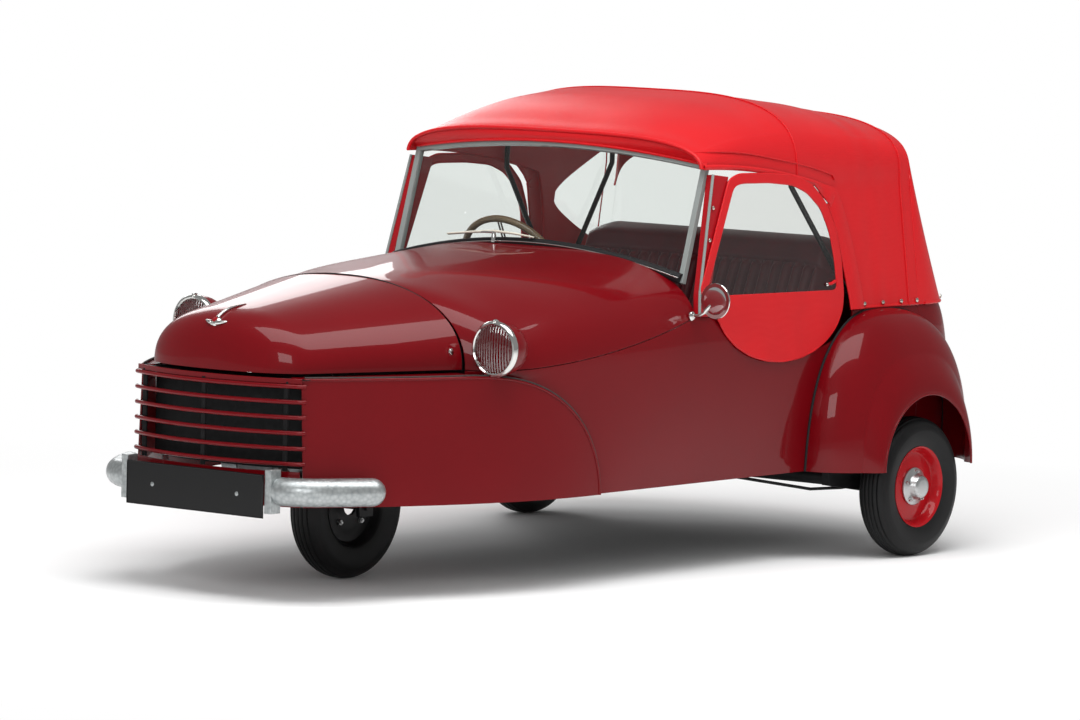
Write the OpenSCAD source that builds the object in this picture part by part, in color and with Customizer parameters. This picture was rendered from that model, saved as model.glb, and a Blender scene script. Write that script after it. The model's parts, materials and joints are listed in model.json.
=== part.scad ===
// Light three-wheeled car: one steered front wheel that carries the engine,
// two rear wheels on trailing arms, a sheet-metal body and a folding hood.
// Stations (y) are measured from the front axle, heights (z) from the ground,
// and widths (x) from the middle, with the car's left side at +x and its nose at -y.

/* [Running gear] */
// Distance between the front and rear axles
wheelbase = 1660; // [1560:10:1780]
// Distance between the middles of the rear tyres
rear_track = 1400; // [1370:10:1480]
// Outside diameter of a tyre
tyre_d = 400; // [380:5:410]
// Width of a tyre
tyre_w = 100; // [80:2:104]
// Diameter of the rim where the tyre seats
rim_d = 232; // [215:1:250]
// Diameter of a wheel axle
axle_d = 20; // [16:1:24]
// Radial running clearance of an axle or shaft in its bore
running = 0.05; // [0.02:0.01:0.1]
// Diameter of the king-pin that the front wheel unit steers on
kingpin_d = 30; // [24:1:36]
// Distance of the king-pin ahead of the front axle
trail = 20; // [10:1:40]

/* [Body] */
// Half of the body's width at the waist
side_w = 588; // [560:2:610]
// Height of the sill above the ground
sill_z = 254; // [245:1:265]
// Height of the waist, where the sides stand upright
waist_z = 600; // [590:1:610]
// Thickness of the body panels
panel_t = 4; // [2:0.5:6]
// Half of the body's width at the bonnet's rear seam
seam_w = 433; // [415:1:450]
// Station of the bonnet's rear seam
seam_y = -30; // [-40:1:-20]
// Height of the scuttle's crown at the seam
seam_z = 832; // [815:1:850]
// Height of the scuttle's crown at the windscreen
screen_z = 884; // [870:1:900]
// Station of the windscreen's foot
screen_y = 792; // [780:1:810]
// Station of the nose of the bonnet
nose_y = -580; // [-600:1:-560]
// Rearmost station of the tail
tail_y = 2200; // [2150:5:2300]
// Half width of the front wings at their rear edge
wing_w = 608; // [595:1:625]
// Lowest height of the cut-down side where people step in
step_z = 594; // [560:2:610]
// Half width of a rear wing's outside above the middle of the car
rear_wing_x = 768; // [760:2:790]

/* [Glass and hood] */
// Lean of the windscreen from upright, in degrees
screen_lean = 16.5; // [12:0.5:20]
// Half width of the windscreen glass
screen_hw = 512; // [490:2:530]
// Height of the windscreen glass at its middle, along the slope
screen_h = 292; // [270:2:310]
// Height of the top of the hood
roof_z = 1313; // [1290:1:1340]
// Thickness of the hood's coated cloth with its lining
hood_t = 6; // [4:0.5:8]

/* [Details] */
// Outside diameter of a headlamp rim
lamp_d = 152; // [140:1:165]
// Diameter of the front bumper tube
bumper_d = 76; // [70:1:80]
// Size of the number plates, width and height
plate_size = [486, 116];
// Distance between the two fixing holes of a number plate
plate_holes = 300; // [200:5:400]
// Diameter of a number plate's fixing hole
plate_hole_d = 7; // [5:0.5:9]
// Diameter of the steering wheel
steer_wheel_d = 380; // [340:5:420]

/* [Hidden] */
$fn = 48;

// Gap between neighbouring panels and pieces
gap = 0.4;
// Middle of the whole car, from the front axle: the frame's origin lies under it
plate_y = -620;
mid_y = (plate_y + tail_y) / 2;

// ---- curves of the body ----
function clamp01(t) = min(1, max(0, t));
function lerp(a, b, t) = a + (b - a) * t;
// quarter of a superellipse, 0 at t = 0 and 1 from t = 1 on
function roll(t, p) = t >= 1 ? 1 : t <= 0 ? 0 : pow(1 - pow(1 - t, p), 1 / p);
// rest of a superellipse, 1 at t = 0 and 0 at t = 1
function fall(t, p) = t <= 0 ? 1 : t >= 1 ? 0 : pow(1 - pow(t, p), 1 / p);
function spow(c, e) = sign(c) * pow(abs(c), e);

// Widest part of the body sides lies from flare_y backwards; just behind the seam
// the sides swell quickly, behind the headlamps
flare_y = 850;
swell = 55;
swell_share = 0.62;
sill_in = 10;
scuttle_end_y = 800;
function along(y) = clamp01((y - seam_y) / (screen_y - seam_y));
function body_w(y) = side_w - (side_w - seam_w) * (swell_share * exp(-(y - seam_y) / swell)
    + (1 - swell_share) * pow(max(0, flare_y - y) / (flare_y - seam_y), 2));
function crown_z(y) = lerp(seam_z, screen_z, along(y));
function crown_exp(y) = lerp(2.3, 3.0, along(y)) - 0.3 * exp(-pow((y - 110) / 110, 2));
function sill_x(y) = side_w - sill_in - 74 * pow(max(0, 450 - y) / 480, 2);
// half width of the body at station y and height z
function side_x(y, z) = z <= waist_z
    ? lerp(body_w(y), sill_x(y), pow((waist_z - z) / (waist_z - sill_z), 2))
    : body_w(y) * fall((z - waist_z) / (crown_z(y) - waist_z), crown_exp(y));
// top edge of the side: under the scuttle, down to the step, up again to the tail
pillar_z = 716;
quarter_z = 722;
step_y = 1250;
quarter_y = 1535;
function side_top(y) =
    y < scuttle_end_y ? lerp(waist_z, pillar_z, pow((y - seam_y) / (scuttle_end_y - seam_y), 2))
    : y < step_y ? lerp(step_z, pillar_z, pow(cos(90 * (y - scuttle_end_y) / (step_y - scuttle_end_y)), 2))
    : y < quarter_y ? lerp(quarter_z, step_z, fall((y - step_y) / (quarter_y - step_y), 2))
    : quarter_z + 10 * clamp01((y - quarter_y) / 300);

// front wing: its panel fills an arch in the body side, down to the sill
cowl_top = 590;
arch_y = 362;
arch_start_y = -80;
cowl_bend = 0.00041;
cowl_lean = 14;
grille_side_y = -522;
function cowl_w(y) = wing_w - 12 - cowl_bend * pow(max(0, 330 - y), 2);
function cowl_x(y, z) = cowl_w(y) - cowl_lean * (z - sill_z) / (cowl_top - sill_z);
function arch_at(z) = arch_start_y + (arch_y - arch_start_y) * fall((z - sill_z) / (cowl_top - sill_z), 2.1);

// tail: plan corner and lean
corner_y = 1850;
tail_exp = 3.2;
belly_z = 400;
tail_lean = 0.00093;
function tail_end(z) = tail_y - tail_lean * pow(z - belly_z, 2) * (z > belly_z ? 1 : 0.5);

// ---- thick closed sheet from a grid of points; the wall t goes in, against the normals ----
function unit(v) = v / max(norm(v), 1e-6);
function normal_at(g, i, j) =
    let (m = len(g) - 1, n = len(g[0]) - 1,
        du = g[min(i + 1, m)][j] - g[max(i - 1, 0)][j],
        dv = g[i][min(j + 1, n)] - g[i][max(j - 1, 0)])
    unit(cross(du, dv));
// Cells for which skip[i][j] is true are left out, and inner may give the inside grid itself
module sheet(g, t, inner = undef, skip = undef) {
    m = len(g);
    n = len(g[0]);
    k = m * n;
    outside = [for (row = g) each row];
    inside = inner == undef
        ? [for (i = [0:m - 1]) for (j = [0:n - 1]) g[i][j] - t * normal_at(g, i, j)]
        : [for (row = inner) each row];
    function open(i, j) = i < 0 || j < 0 || i > m - 2 || j > n - 2 || (skip != undef && skip[i][j]);
    cells = [for (i = [0:m - 2]) for (j = [0:n - 2]) if (!open(i, j)) [i, j, i * n + j]];
    skin = [for (c = cells) each [[c[2], c[2] + 1, c[2] + n + 1], [c[2], c[2] + n + 1, c[2] + n]]];
    rim = [for (c = cells) let (a = c[2]) each [
        if (open(c[0], c[1] - 1)) [a, a + n],
        if (open(c[0] + 1, c[1])) [a + n, a + n + 1],
        if (open(c[0], c[1] + 1)) [a + n + 1, a + 1],
        if (open(c[0] - 1, c[1])) [a + 1, a]]];
    faces = concat(skin,
        [for (f = skin) [f[2] + k, f[1] + k, f[0] + k]],
        [for (e = rim) each [[e[0], e[1], e[1] + k], [e[0], e[1] + k, e[0] + k]]]);
    polyhedron(concat(outside, inside), faces, convexity = 8);
}
module both_sides() {
    children();
    mirror([1, 0, 0]) children();
}
// round tube along a list of points, mitred at the bends; dome rounds its far end
function carried(path, ring, i = 0) = i == len(path) - 1 ? [ring] :
    let (a = unit(path[i + 1] - path[i]),
        c = i == len(path) - 2 ? a : unit(a + unit(path[i + 2] - path[i + 1])))
    concat([ring], carried(path, [for (q = ring) q + a * (((path[i + 1] - q) * c) / (a * c))], i + 1));
module bent_tube(path, d, sides = 12, dome = false) {
    a = unit(path[1] - path[0]);
    u = unit(cross(a, abs(a[2]) > 0.9 ? [1, 0, 0] : [0, 0, 1]));
    v = cross(a, u);
    rings = carried(path, [for (k = [0:sides - 1]) path[0] + d / 2 * (cos(360 * k / sides) * u + sin(360 * k / sides) * v)]);
    last = path[len(path) - 1];
    b = unit(last - path[len(path) - 2]);
    ends = dome ? [for (q = [30, 60, 80])
        [for (r = rings[len(rings) - 1]) last + b * d / 2 * sin(q) + (r - last) * cos(q)]] : [];
    all = concat(rings, ends);
    m = len(all);
    polyhedron([for (r = all) each r], concat(
        [for (i = [0:m - 2]) for (k = [0:sides - 1]) let (l = (k + 1) % sides)
            each [[i * sides + k, (i + 1) * sides + l, i * sides + l], [i * sides + k, (i + 1) * sides + k, (i + 1) * sides + l]]],
        [[for (k = [0:sides - 1]) k], [for (k = [sides - 1:-1:0]) (m - 1) * sides + k]]), convexity = 4);
}
function both_ways(half) = concat(half, [for (i = [len(half) - 2:-1:0]) [-half[i][0], half[i][1], half[i][2]]]);
module placed() translate([0, -mid_y, 0]) children();

// ================= body shell =================
side_rows = 9;
front_steps = 12;
function front_share(i) = pow(i / front_steps, 1.6);
side_steps = concat([for (i = [0:front_steps]) lerp(seam_y, scuttle_end_y, front_share(i))],
    [for (i = [1:7]) lerp(scuttle_end_y, step_y, i / 7)],
    [for (i = [1:7]) lerp(step_y, quarter_y, sin(90 * i / 7))],
    [for (i = [1:4]) lerp(quarter_y, corner_y, i / 4)]);
// the front edge of the side follows the arch
function side_start(v) = max(seam_y, arch_at(lerp(sill_z, cowl_top + 8, v)) + 2 * gap);
function side_point(y, v) =
    let (y0 = side_start(v), yy = corner_y - (corner_y - y) * (corner_y - y0) / (corner_y - seam_y),
        z = lerp(sill_z, side_top(yy), v))
    [side_x(yy, z), yy, z];
module left_side_panel() color("#5a0f17")
    sheet([for (y = side_steps) [for (j = [0:side_rows]) side_point(y, j / side_rows)]], panel_t);
module right_side_panel() color("#5a0f17") mirror([1, 0, 0]) left_side_panel();

// tail: from one rear corner round to the other
function tail_point(a, z) = let (w = side_x(corner_y, z), d = tail_end(z) - corner_y - gap)
    [w * spow(cos(a), 2 / tail_exp), corner_y + gap + d * pow(abs(sin(a)), 2 / tail_exp), z];
tail_cols = 24;
function tail_angle(i) = 90 - 90 * spow(cos(180 * i / tail_cols), 0.8);
module tail_panel() color("#5a0f17")
    sheet([for (i = [0:tail_cols]) [for (j = [0:side_rows])
        tail_point(tail_angle(i), lerp(sill_z, side_top(corner_y), j / side_rows))]], panel_t);

// scuttle: from the bonnet seam to the windscreen, over the top
scuttle_cols = 22;
function scuttle_point(y, a) =
    let (w = body_w(y), s = side_top(y) + 10 * gap, h = crown_z(y) - waist_z,
        lo = asin(clamp01(pow((s - waist_z) / h, crown_exp(y) / 2))),
        q = lerp(lo, 180 - lo, a))
    [w * spow(cos(q), 2 / crown_exp(y)), y, waist_z + h * pow(sin(q), 2 / crown_exp(y))];
function scuttle_end(a) = foot_y - rail_t + 0.5 + 20 * pow(scuttle_point(screen_y, a)[0] / screen_hw, 2);
module scuttle() color("#5a0f17") {
    sheet([for (i = [0:front_steps]) [for (j = [0:scuttle_cols])
        let (a = j / scuttle_cols) scuttle_point(lerp(seam_y, scuttle_end(a), front_share(i)), a)]], panel_t);
    both_sides() knuckle(hinge_x, seam_y - 3, seam_y + 6);
}
// bonnet hinge: leaves with knuckles side by side on one axis
hinge_x = 62;
hinge_w = 12;
hinge_r = 5;
hinge_z = seam_z + 6;
module knuckle(x, y0, y1) {
    translate([x, hinge_y, hinge_z]) rotate([0, 90, 0]) cylinder(r = hinge_r, h = hinge_w);
    translate([x, y0, seam_z - 7]) cube([hinge_w, y1 - y0, 12]);
}

// floor: a flat pan from the toe board to the tail
floor_y = 300;
floor_t = 5;
module floor_pan() color("#3a3a3c")
    translate([0, 0, sill_z]) linear_extrude(floor_t) {
        half = [for (y = [floor_y:80:corner_y]) [side_x(y, sill_z) - panel_t - 2, y],
            for (a = [15:15:75]) let (q = tail_point(a, sill_z)) [q[0] - panel_t - 2 * cos(a), q[1] - panel_t - 2]];
        polygon(concat(half, [for (i = [len(half) - 1:-1:0]) [-half[i][0], half[i][1]]]));
    }

// front bulkhead: closes the cabin and carries the steering head
head_z = 440;
head_h = 150;
head_d = 64;
head_arm_w = 60;
// right-hand outline of the bulkhead: inside the cowl, then inside the body and the scuttle
bulkhead_side = concat([for (z = [sill_z, 400]) [cowl_x(floor_y, z) - panel_t - 1.8, z]],
    [for (z = [450:40:690]) [side_x(floor_y, z) - panel_t - 2.2, z]],
    [for (z = [730, 770, 800]) [side_x(floor_y, z) - panel_t - 11, z]],
    [for (x = [300, 200, 100]) [x, crown_z(floor_y) - panel_t - 5 - (x / 300) * 26]]);
module front_bulkhead() color("#2b2b2d") {
    translate([0, floor_y - 0.3, 0]) rotate([90, 0, 0]) linear_extrude(4)
        polygon(concat(bulkhead_side, [for (i = [len(bulkhead_side) - 1:-1:0]) [-bulkhead_side[i][0], bulkhead_side[i][1]]]));
    difference() {
        union() {
            translate([0, -trail, head_z]) cylinder(d = head_d, h = head_h);
            translate([-head_arm_w / 2, -trail + 10, head_z + 10])
                cube([head_arm_w, floor_y - 4.3 + trail - 10, head_h - 20]);
        }
        translate([0, -trail, head_z - 1]) cylinder(d = kingpin_d + 2 * running, h = head_h + 2);
    }
}

// dashboard: a flat board under the rear edge of the scuttle
dash_low = 705;
dash_y = screen_y - 44;
module dashboard() color("#46121a")
    translate([0, dash_y + 12, 0]) rotate([90, 0, 0]) linear_extrude(12) {
        y = dash_y;
        pts = [for (a = [20:10:160]) let (h = crown_z(y) - waist_z - panel_t - 0.8, w = body_w(y) - panel_t - 2.5)
            [w * spow(cos(a), 2 / crown_exp(y)), max(dash_low, waist_z + h * pow(sin(a), 2 / crown_exp(y)))]];
        polygon(concat(pts, [[-520, dash_low], [520, dash_low]]));
    }

// front cowl: both front wing panels, the ledge under the bonnet and the grille's surround
lip_t = 10;
cowl_rows = 7;
function bonnet_w(y) = (seam_w - 0.36 * (seam_y - y)) * roll((y - nose_y) / 110, 2.5);
function front_y(x) = grille_side_y - 65 * (1 - pow(abs(x) / cowl_w(grille_side_y), 2.2));
function cowl_z(v) = lerp(sill_z, cowl_top, v);
module cowl_side()
    sheet([for (i = [0:12]) [for (j = [0:cowl_rows])
        let (z = cowl_z(sin(90 * j / cowl_rows)), y = lerp(grille_side_y, arch_at(z), i / 12))
        [cowl_x(y, z) - (z > cowl_top - 1 ? 0 : 1), y, z]]], panel_t);
module cowl_ledge()
    sheet([for (i = [0:12]) let (y = lerp(grille_side_y, seam_y - 14, i / 12))
        [for (j = [0:2]) [lerp(cowl_x(y, cowl_top) - panel_t - 0.5, max(150, bonnet_w(max(y, -500)) - 14), j / 2), y,
            cowl_top + 5 * j / 2]]], panel_t);
grille_low = 348;
module front_band(z0, z1, depth)
    translate([0, 0, z0]) linear_extrude(z1 - z0) {
        hw = cowl_x(grille_side_y, z1) - panel_t - 0.3;
        xs = [for (i = [-8:8]) hw * i / 8];
        polygon(concat([for (x = xs) [x, front_y(x)]], [for (i = [16:-1:0]) [xs[i], front_y(xs[i]) + depth]]));
    }
module front_cowl() color("#5a0f17") {
    both_sides() {
        cowl_side();
        cowl_ledge();
    }
    front_band(cowl_top - 8, cowl_top + 4, 60);
    front_band(sill_z, grille_low, 5);
}

// grille: six bowed bars on three upright posts
bar_zs = [574, 533, 492, 451, 410, 369];
bar_h = 11;
module grille() color("#5a0f17") {
    for (z = bar_zs) translate([0, -9, 0]) front_band(z - bar_h / 2, z + bar_h / 2, 20);
    for (x = [-250, 0, 250])
        translate([x - 4, front_y(x) + 8, grille_low + 0.3])
            cube([8, 12, cowl_top - 8.3 - grille_low - 0.3]);
}

// bonnet: one pressing from the nose to the seam, hinged at its rear edge
bonnet_gap = 9;
hinge_y = seam_y - bonnet_gap / 2;
bonnet_rows = concat([0.0006, 0.012, 0.05, 0.11, 0.2, 0.33, 0.5, 0.72, 1], [1.5, 2.1, 2.8, 3.5]);
function bonnet_y(t) = nose_y + 130 * t;
bonnet_end = seam_y - bonnet_gap;
function bonnet_crown(y) = waist_z + (seam_z - waist_z - 0.16 * (seam_y - y)) * roll((y - nose_y) / 130, 3);
bonnet_cols = 22;
function bonnet_point(y, a, k = 1) =
    [k * bonnet_w(y) * spow(cos(180 * a), 2 / 2.3), y,
     waist_z + 4 + k * (bonnet_crown(y) - waist_z - 4) * pow(abs(sin(180 * a)), 2 / 2.3)];
module bonnet() color("#5a0f17") {
    ys = concat([for (t = bonnet_rows) bonnet_y(t)], [bonnet_end]);
    sheet(concat([[for (j = [0:bonnet_cols]) bonnet_point(ys[0], j / bonnet_cols, 0.05)]],
        [for (y = ys) [for (j = [0:bonnet_cols]) bonnet_point(y, j / bonnet_cols)]]), panel_t);
    both_sides() knuckle(hinge_x + hinge_w + 0.3, bonnet_end - 6, bonnet_end + 3);
}
badge_y = -560;
badge_z = 716;
badge_off = -0.4;
module bonnet_ornament() color("#c8c8c8")
    translate([0, badge_y, badge_z]) rotate([40, 0, 0]) {
        translate([0, 0, badge_off]) cylinder(r = 16, h = 8);
        translate([-35, -6, badge_off]) cube([70, 10, 6]);
        translate([-4, 0, badge_off]) cube([8, 130, 6]);
    }

// ================= rear wings, lamps =================
// rear wing: a swollen shell bolted to the body side, open below and cut for the wheel
rear_wing_y = wheelbase + 5;
rear_wing_len = 345;
rear_wing_top = 704;
rear_wing_exp = 2.5;
wing_joint_x = side_w + 1;
arch_r = 212;
arch_zc = 256;
wing_t = 3;
wing_cols = 22;
wing_rows = 8;
// a point of the wing: u runs over the top from front to back, v out from the body
function wing_point(u, v) =
    let (a = 180 * u, b = 90 * v,
        k = spow(cos(b), 2 / 2.2), x = lerp(wing_joint_x, rear_wing_x, spow(sin(b), 2 / 2.2)))
    [x, rear_wing_y - rear_wing_len * spow(cos(a), 2 / rear_wing_exp) * k,
        sill_z + (rear_wing_top - sill_z) * pow(abs(sin(a)), 2 / rear_wing_exp) * k];
// the outer cheek closes the shell round the wheel arch
cheek_v = 0.5;
function arch_point(u) = let (a = 180 * u) [rear_wing_x - 3, wheelbase + 8 - arch_r * cos(a),
    max(sill_z, arch_zc + arch_r * sin(a))];
function cheek_point(u, v) = let (p = wing_point(u, cheek_v), q = arch_point(u), w = sin(90 * v))
    [lerp(p[0], q[0], w), lerp(p[1], q[1], v), lerp(p[2], q[2], v)];
module rear_wing() color("#5a0f17")
    sheet([for (v = [0:wing_rows + 4]) [for (i = [0:wing_cols])
        v <= wing_rows ? wing_point(i / wing_cols, cheek_v * v / wing_rows)
            : cheek_point(i / wing_cols, (v - wing_rows) / 4)]], wing_t);
module left_rear_wing() rear_wing();
module right_rear_wing() mirror([1, 0, 0]) rear_wing();

lamp_x = 538;
lamp_y = -34;
lamp_z = 666;
lamp_r = lamp_d / 2;
bowl_depth = 96;
module on_lamp() both_sides() translate([lamp_x, lamp_y, lamp_z]) rotate([-90, 0, 0]) children();
module headlamps() color("#5a0f17") on_lamp() rotate_extrude($fn = 40) polygon(concat(
    [[lamp_r - 9, -4], [lamp_r, 0], [lamp_r, 12]],
    [for (i = [0:8]) [(lamp_r - 4) * fall(i / 8.2, 2.4), 14 + (bowl_depth - 14) * i / 8]],
    [[0, bowl_depth], [0, bowl_depth - 4]],
    [for (i = [8:-1:0]) [(lamp_r - 9) * fall(i / 8.4, 2.4), 14 + (bowl_depth - 20) * i / 8]]));
module headlamp_glasses() color("#e8eef0") on_lamp() translate([0, 0, -10]) rotate_extrude($fn = 40)
    polygon(concat([[0, 0], [0, 8]], [[lamp_r - 9.4, 13.5], [lamp_r - 9.4, 5]], [[lamp_r * 0.5, 1.4]]));

tail_lamp_x = 400;
tail_lamp_z = 520;
function tail_surface_y(x, z) = corner_y + gap
    + (tail_end(z) - corner_y - gap) * fall(x / side_x(corner_y, z), tail_exp);
module on_tail(x, z) {
    p = [x, tail_surface_y(x, z), z];
    n = unit(cross([0, tail_surface_y(x, z + 5) - tail_surface_y(x, z - 5), 10],
        [10, tail_surface_y(x + 5, z) - tail_surface_y(x - 5, z), 0]));
    translate(p) rotate([0, acos(n[2]), atan2(n[1], n[0])]) children();
}
module tail_lamps() color("#9a1218") both_sides() on_tail(tail_lamp_x, tail_lamp_z) {
    translate([0, 0, 0.3]) cylinder(d = 62, h = 12);
    translate([0, 0, 12]) cylinder(d1 = 56, d2 = 44, h = 14);
}

// ================= windscreen =================
glass_t = 5;
glass_bow = 40;
foot_drop = 67;
top_drop = 39;
screen_cols = 12;
foot_y = screen_y - 3;
function screen_low(x) = screen_z - foot_drop * pow(x / screen_hw, 2);
function screen_top(x) = screen_z + screen_h * cos(screen_lean) - top_drop * pow(x / screen_hw, 2);
function screen_at(x, z) = foot_y + (z - screen_z) * tan(screen_lean) + glass_bow * pow(x / screen_hw, 2);
module windscreen_glass() color([0.75, 0.85, 0.85, 0.35])
    sheet([for (i = [0:screen_cols]) let (x = lerp(-screen_hw, screen_hw, i / screen_cols)) [for (j = [0:3])
        let (z = lerp(screen_low(x), screen_top(x), j / 3)) [x, screen_at(x, z) - glass_t / 2, z]]], glass_t);
rail_t = 16;
rail_h = 22;
post_t = 22;
module top_rail() sheet([for (i = [0:screen_cols]) let (x = lerp(-screen_hw, screen_hw, i / screen_cols))
    [for (j = [0:1]) let (z = screen_top(x) + 5 + rail_h * j) [x, screen_at(x, z) - rail_t / 2, z]]], rail_t);
module windscreen_frame() color("#7f8583") {
    top_rail();
    sheet([for (i = [0:screen_cols]) let (x = lerp(-screen_hw, screen_hw, i / screen_cols)) [for (j = [0:1])
        let (z = screen_low(x) - gap - rail_h * (1 - j)) [x, screen_at(x, z) - rail_t / 2, z]]], rail_t);
    both_sides() {
        sheet([for (i = [0:1]) let (x = screen_hw + 1.6 + 9 * i) [for (j = [0:1])
            let (z = j == 0 ? screen_low(x) : screen_top(x) + 12) [x, screen_at(x, z) - rail_t / 2, z]]], rail_t);
        // outer post, from the body side up to the hood
        sheet([[[583.5, 802, pillar_z + 1.8], [572.5, 815, 778], [545, 897, 1106]],
            [[583.5, 852, pillar_z - 0.5], [572.5, 864, 778], [545, 970, 1098]]], post_t);
    }
}
module wiper() color("#d8d4c8") {
    z = 896;
    bent_tube([[-300, 770, z], [-120, 760, z + 18], [20, 766, z + 8]], 8);
    translate([-120, 760, z - 14]) cylinder(d = 14, h = 30);
}

// ================= hood =================
hood_front_y = 862;
bow_y = 1850;
side_lean = 0.13;
hem_z = 705;
hood_exp = 3.3;
hem_x = side_x(corner_y, hem_z) + hood_t + gap;
crest_y = 1270;
function hood_x(z) = hem_x - side_lean * (z - hem_z);
function shoulder_z(y) = lerp(1095, 1060, clamp01((y - hood_front_y) / 340));
function roof_at(y) = roof_z - (y < crest_y ? 108 * pow((crest_y - y) / (crest_y - hood_front_y), 2)
    : 73 * pow((y - crest_y) / (bow_y - crest_y), 1.7));
// upper end of the side wall, above which the roof turns over
knee_a = 25;
function knee_z(y) = shoulder_z(y) + (roof_at(y) - shoulder_z(y)) * pow(sin(knee_a), 2 / hood_exp);
function wall_x(y, z) = z <= shoulder_z(y) ? hood_x(z)
    : hood_x(shoulder_z(y)) * fall((z - shoulder_z(y)) / (roof_at(y) - shoulder_z(y)), hood_exp);
// section of the hood at station y: up the wall to the knee, over, and down; in shrinks it
roof_cols = 16;
tip_y = 1560;
tip_z = 965;
tip_half = 14;
pane_low = 800;
pane_high = 1130;
// lower edge of the cloth: over the side window, then down the quarter
function hood_low(y) = y < 1471 ? lerp(1122, 1042, pow((y - hood_front_y) / 609, 2))
    : y < tip_y ? lerp(hem_z, 1042, fall((y - 1471) / (tip_y - 1470), 1.3)) : hem_z;
function pane_k(y) = pow(clamp01((y - tip_y) / (bow_y - tip_y)), 0.75);
function pane_lo(y) = lerp(tip_z - tip_half, pane_low, pane_k(y));
function pane_hi(y) = lerp(tip_z + tip_half, pane_high, pane_k(y));
// shares of the wall's height at which its rows run, so that two of them edge the clear panel
function rows_at(y) = let (q = max(y, tip_y), h = knee_z(q) - hem_z,
        a = (pane_lo(q) - hem_z) / h, b = (pane_hi(q) - hem_z) / h)
    [0, a / 2, a, lerp(a, b, 0.5), b, 1];
function hood_section(y, in) = let (f = rows_at(y), s = shoulder_z(y), h = roof_at(y) - s,
        left = [for (k = f) let (z = lerp(hood_low(y), knee_z(y), k)) [wall_x(y, z) - in, y, z]],
        top = [for (j = [1:roof_cols - 1]) let (a = lerp(knee_a, 180 - knee_a, j / roof_cols))
            [(hood_x(s) - in) * spow(cos(a), 2 / hood_exp), y, s + (h - in) * pow(sin(a), 2 / hood_exp)]])
    concat(left, top, [for (k = [len(f) - 1:-1:0]) [-left[k][0], y, left[k][2]]]);
hood_ys = concat([for (i = [0:8]) lerp(hood_front_y, 1471, i / 8)],
    [1485, 1503, 1522, 1541, tip_y, 1610, 1690, 1770, bow_y]);
tip_row = 13;
// clear panel: across the back, and round the right-hand corner to a point in the quarter
back_cols = 24;
pane_cols = 4;
back_vs = [0, 0.18, 0.34, 0.5, 0.66, 0.8, 1];
function back_low(a, in) = let (d = tail_end(hem_z) - corner_y + hood_t)
    [(hem_x - in) * spow(cos(a), 2 / tail_exp), bow_y + gap + (d - in) * pow(abs(sin(a)), 2 / tail_exp), hem_z];
function back_top(a, in) = let (s = shoulder_z(bow_y), h = roof_at(bow_y) - s)
    [(hood_x(s) - in) * spow(cos(a), 2 / hood_exp), bow_y + gap, s + (h - in) * pow(abs(sin(a)), 2 / hood_exp)];
function back_point(i, v, in) = let (a = 180 * i / back_cols) lerp(back_low(a, in), back_top(a, in), v);
function back_grid(in) = [for (i = [0:back_cols]) [for (v = back_vs) back_point(i, v, in)]];
module hood() color("#c81e22") {
    n = 2 * len(rows_at(bow_y)) + roof_cols - 2;
    sheet([for (y = hood_ys) hood_section(y, 0)], hood_t, [for (y = hood_ys) hood_section(y, hood_t)],
        [for (i = [0:len(hood_ys) - 2]) [for (j = [0:n - 1]) i >= tip_row - 1 && (j == n - 4 || j == n - 3)]]);
    sheet(back_grid(0), hood_t, back_grid(hood_t),
        [for (i = [0:back_cols - 1]) [for (j = [0:len(back_vs) - 2]) i >= pane_cols && j >= 1 && j <= 4]]);
}
module rear_window() color([0.85, 0.9, 0.9, 0.3]) {
    ys = [for (i = [tip_row:len(hood_ys) - 1]) hood_ys[i] - (i == len(hood_ys) - 1 ? 1 : 0)];
    mirror([1, 0, 0]) sheet([for (y = ys) let (a = pane_lo(y), b = pane_hi(y),
            rows = [(a + hem_z) / 2, a, (a + b) / 2, b, knee_z(y)],
            p = [for (z = rows) [wall_x(y, z) - hood_t - 2 * gap, y, z]])
        [lerp(p[1], p[0], 0.12), p[1], p[2], p[3], lerp(p[3], p[4], 0.25)]], 2);
    sheet([for (i = [pane_cols:back_cols]) [for (j = [0:4]) let (v = lerp(0.16, 0.82, j / 4), in = hood_t + gap)
        i == pane_cols ? lerp(back_point(i, v, in), back_point(i - 1, v, in), 0.2) : back_point(i, v, in)]], 2);
}
// hood frame: two bows of steel tube from a pivot on each body side
hood_tube = 16;
pivot_y = 1600;
pivot_z = 690;
bow_in = hood_t + hood_tube / 2 + 6;
foot_x = side_x(pivot_y, quarter_z) - panel_t - hood_tube / 2 - 2;
function bow_path(y, foot_y) = let (s = shoulder_z(y), h = roof_at(y) - s)
    concat([[foot_x, foot_y, pivot_z]], [for (a = [0:15:180])
        [(hood_x(s) - bow_in) * spow(cos(a), 2 / hood_exp), y, s + (h - bow_in) * pow(abs(sin(a)), 2 / hood_exp)]],
        [[-foot_x, foot_y, pivot_z]]);
module hood_bow(y, foot_y) {
    bent_tube(bow_path(y, foot_y), hood_tube);
    both_sides() translate([foot_x, foot_y, pivot_z + 6]) rotate([0, 90, 0])
        cylinder(d = 22, h = side_x(pivot_y, pivot_z + 18) - panel_t - 1.2 - foot_x);
}
module hood_frame() color("#1d1d1f") {
    hood_bow(1300, pivot_y - 14);
    hood_bow(1800, pivot_y + 14);
}

// ================= side screens =================
screen_x0 = 593;
screen_slope = 0.092;
screen_t = 3;
module on_side_screen() translate([screen_x0, 0, waist_z]) rotate([0, -atan(screen_slope), 0])
    rotate([90, 0, 90]) children();
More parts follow.
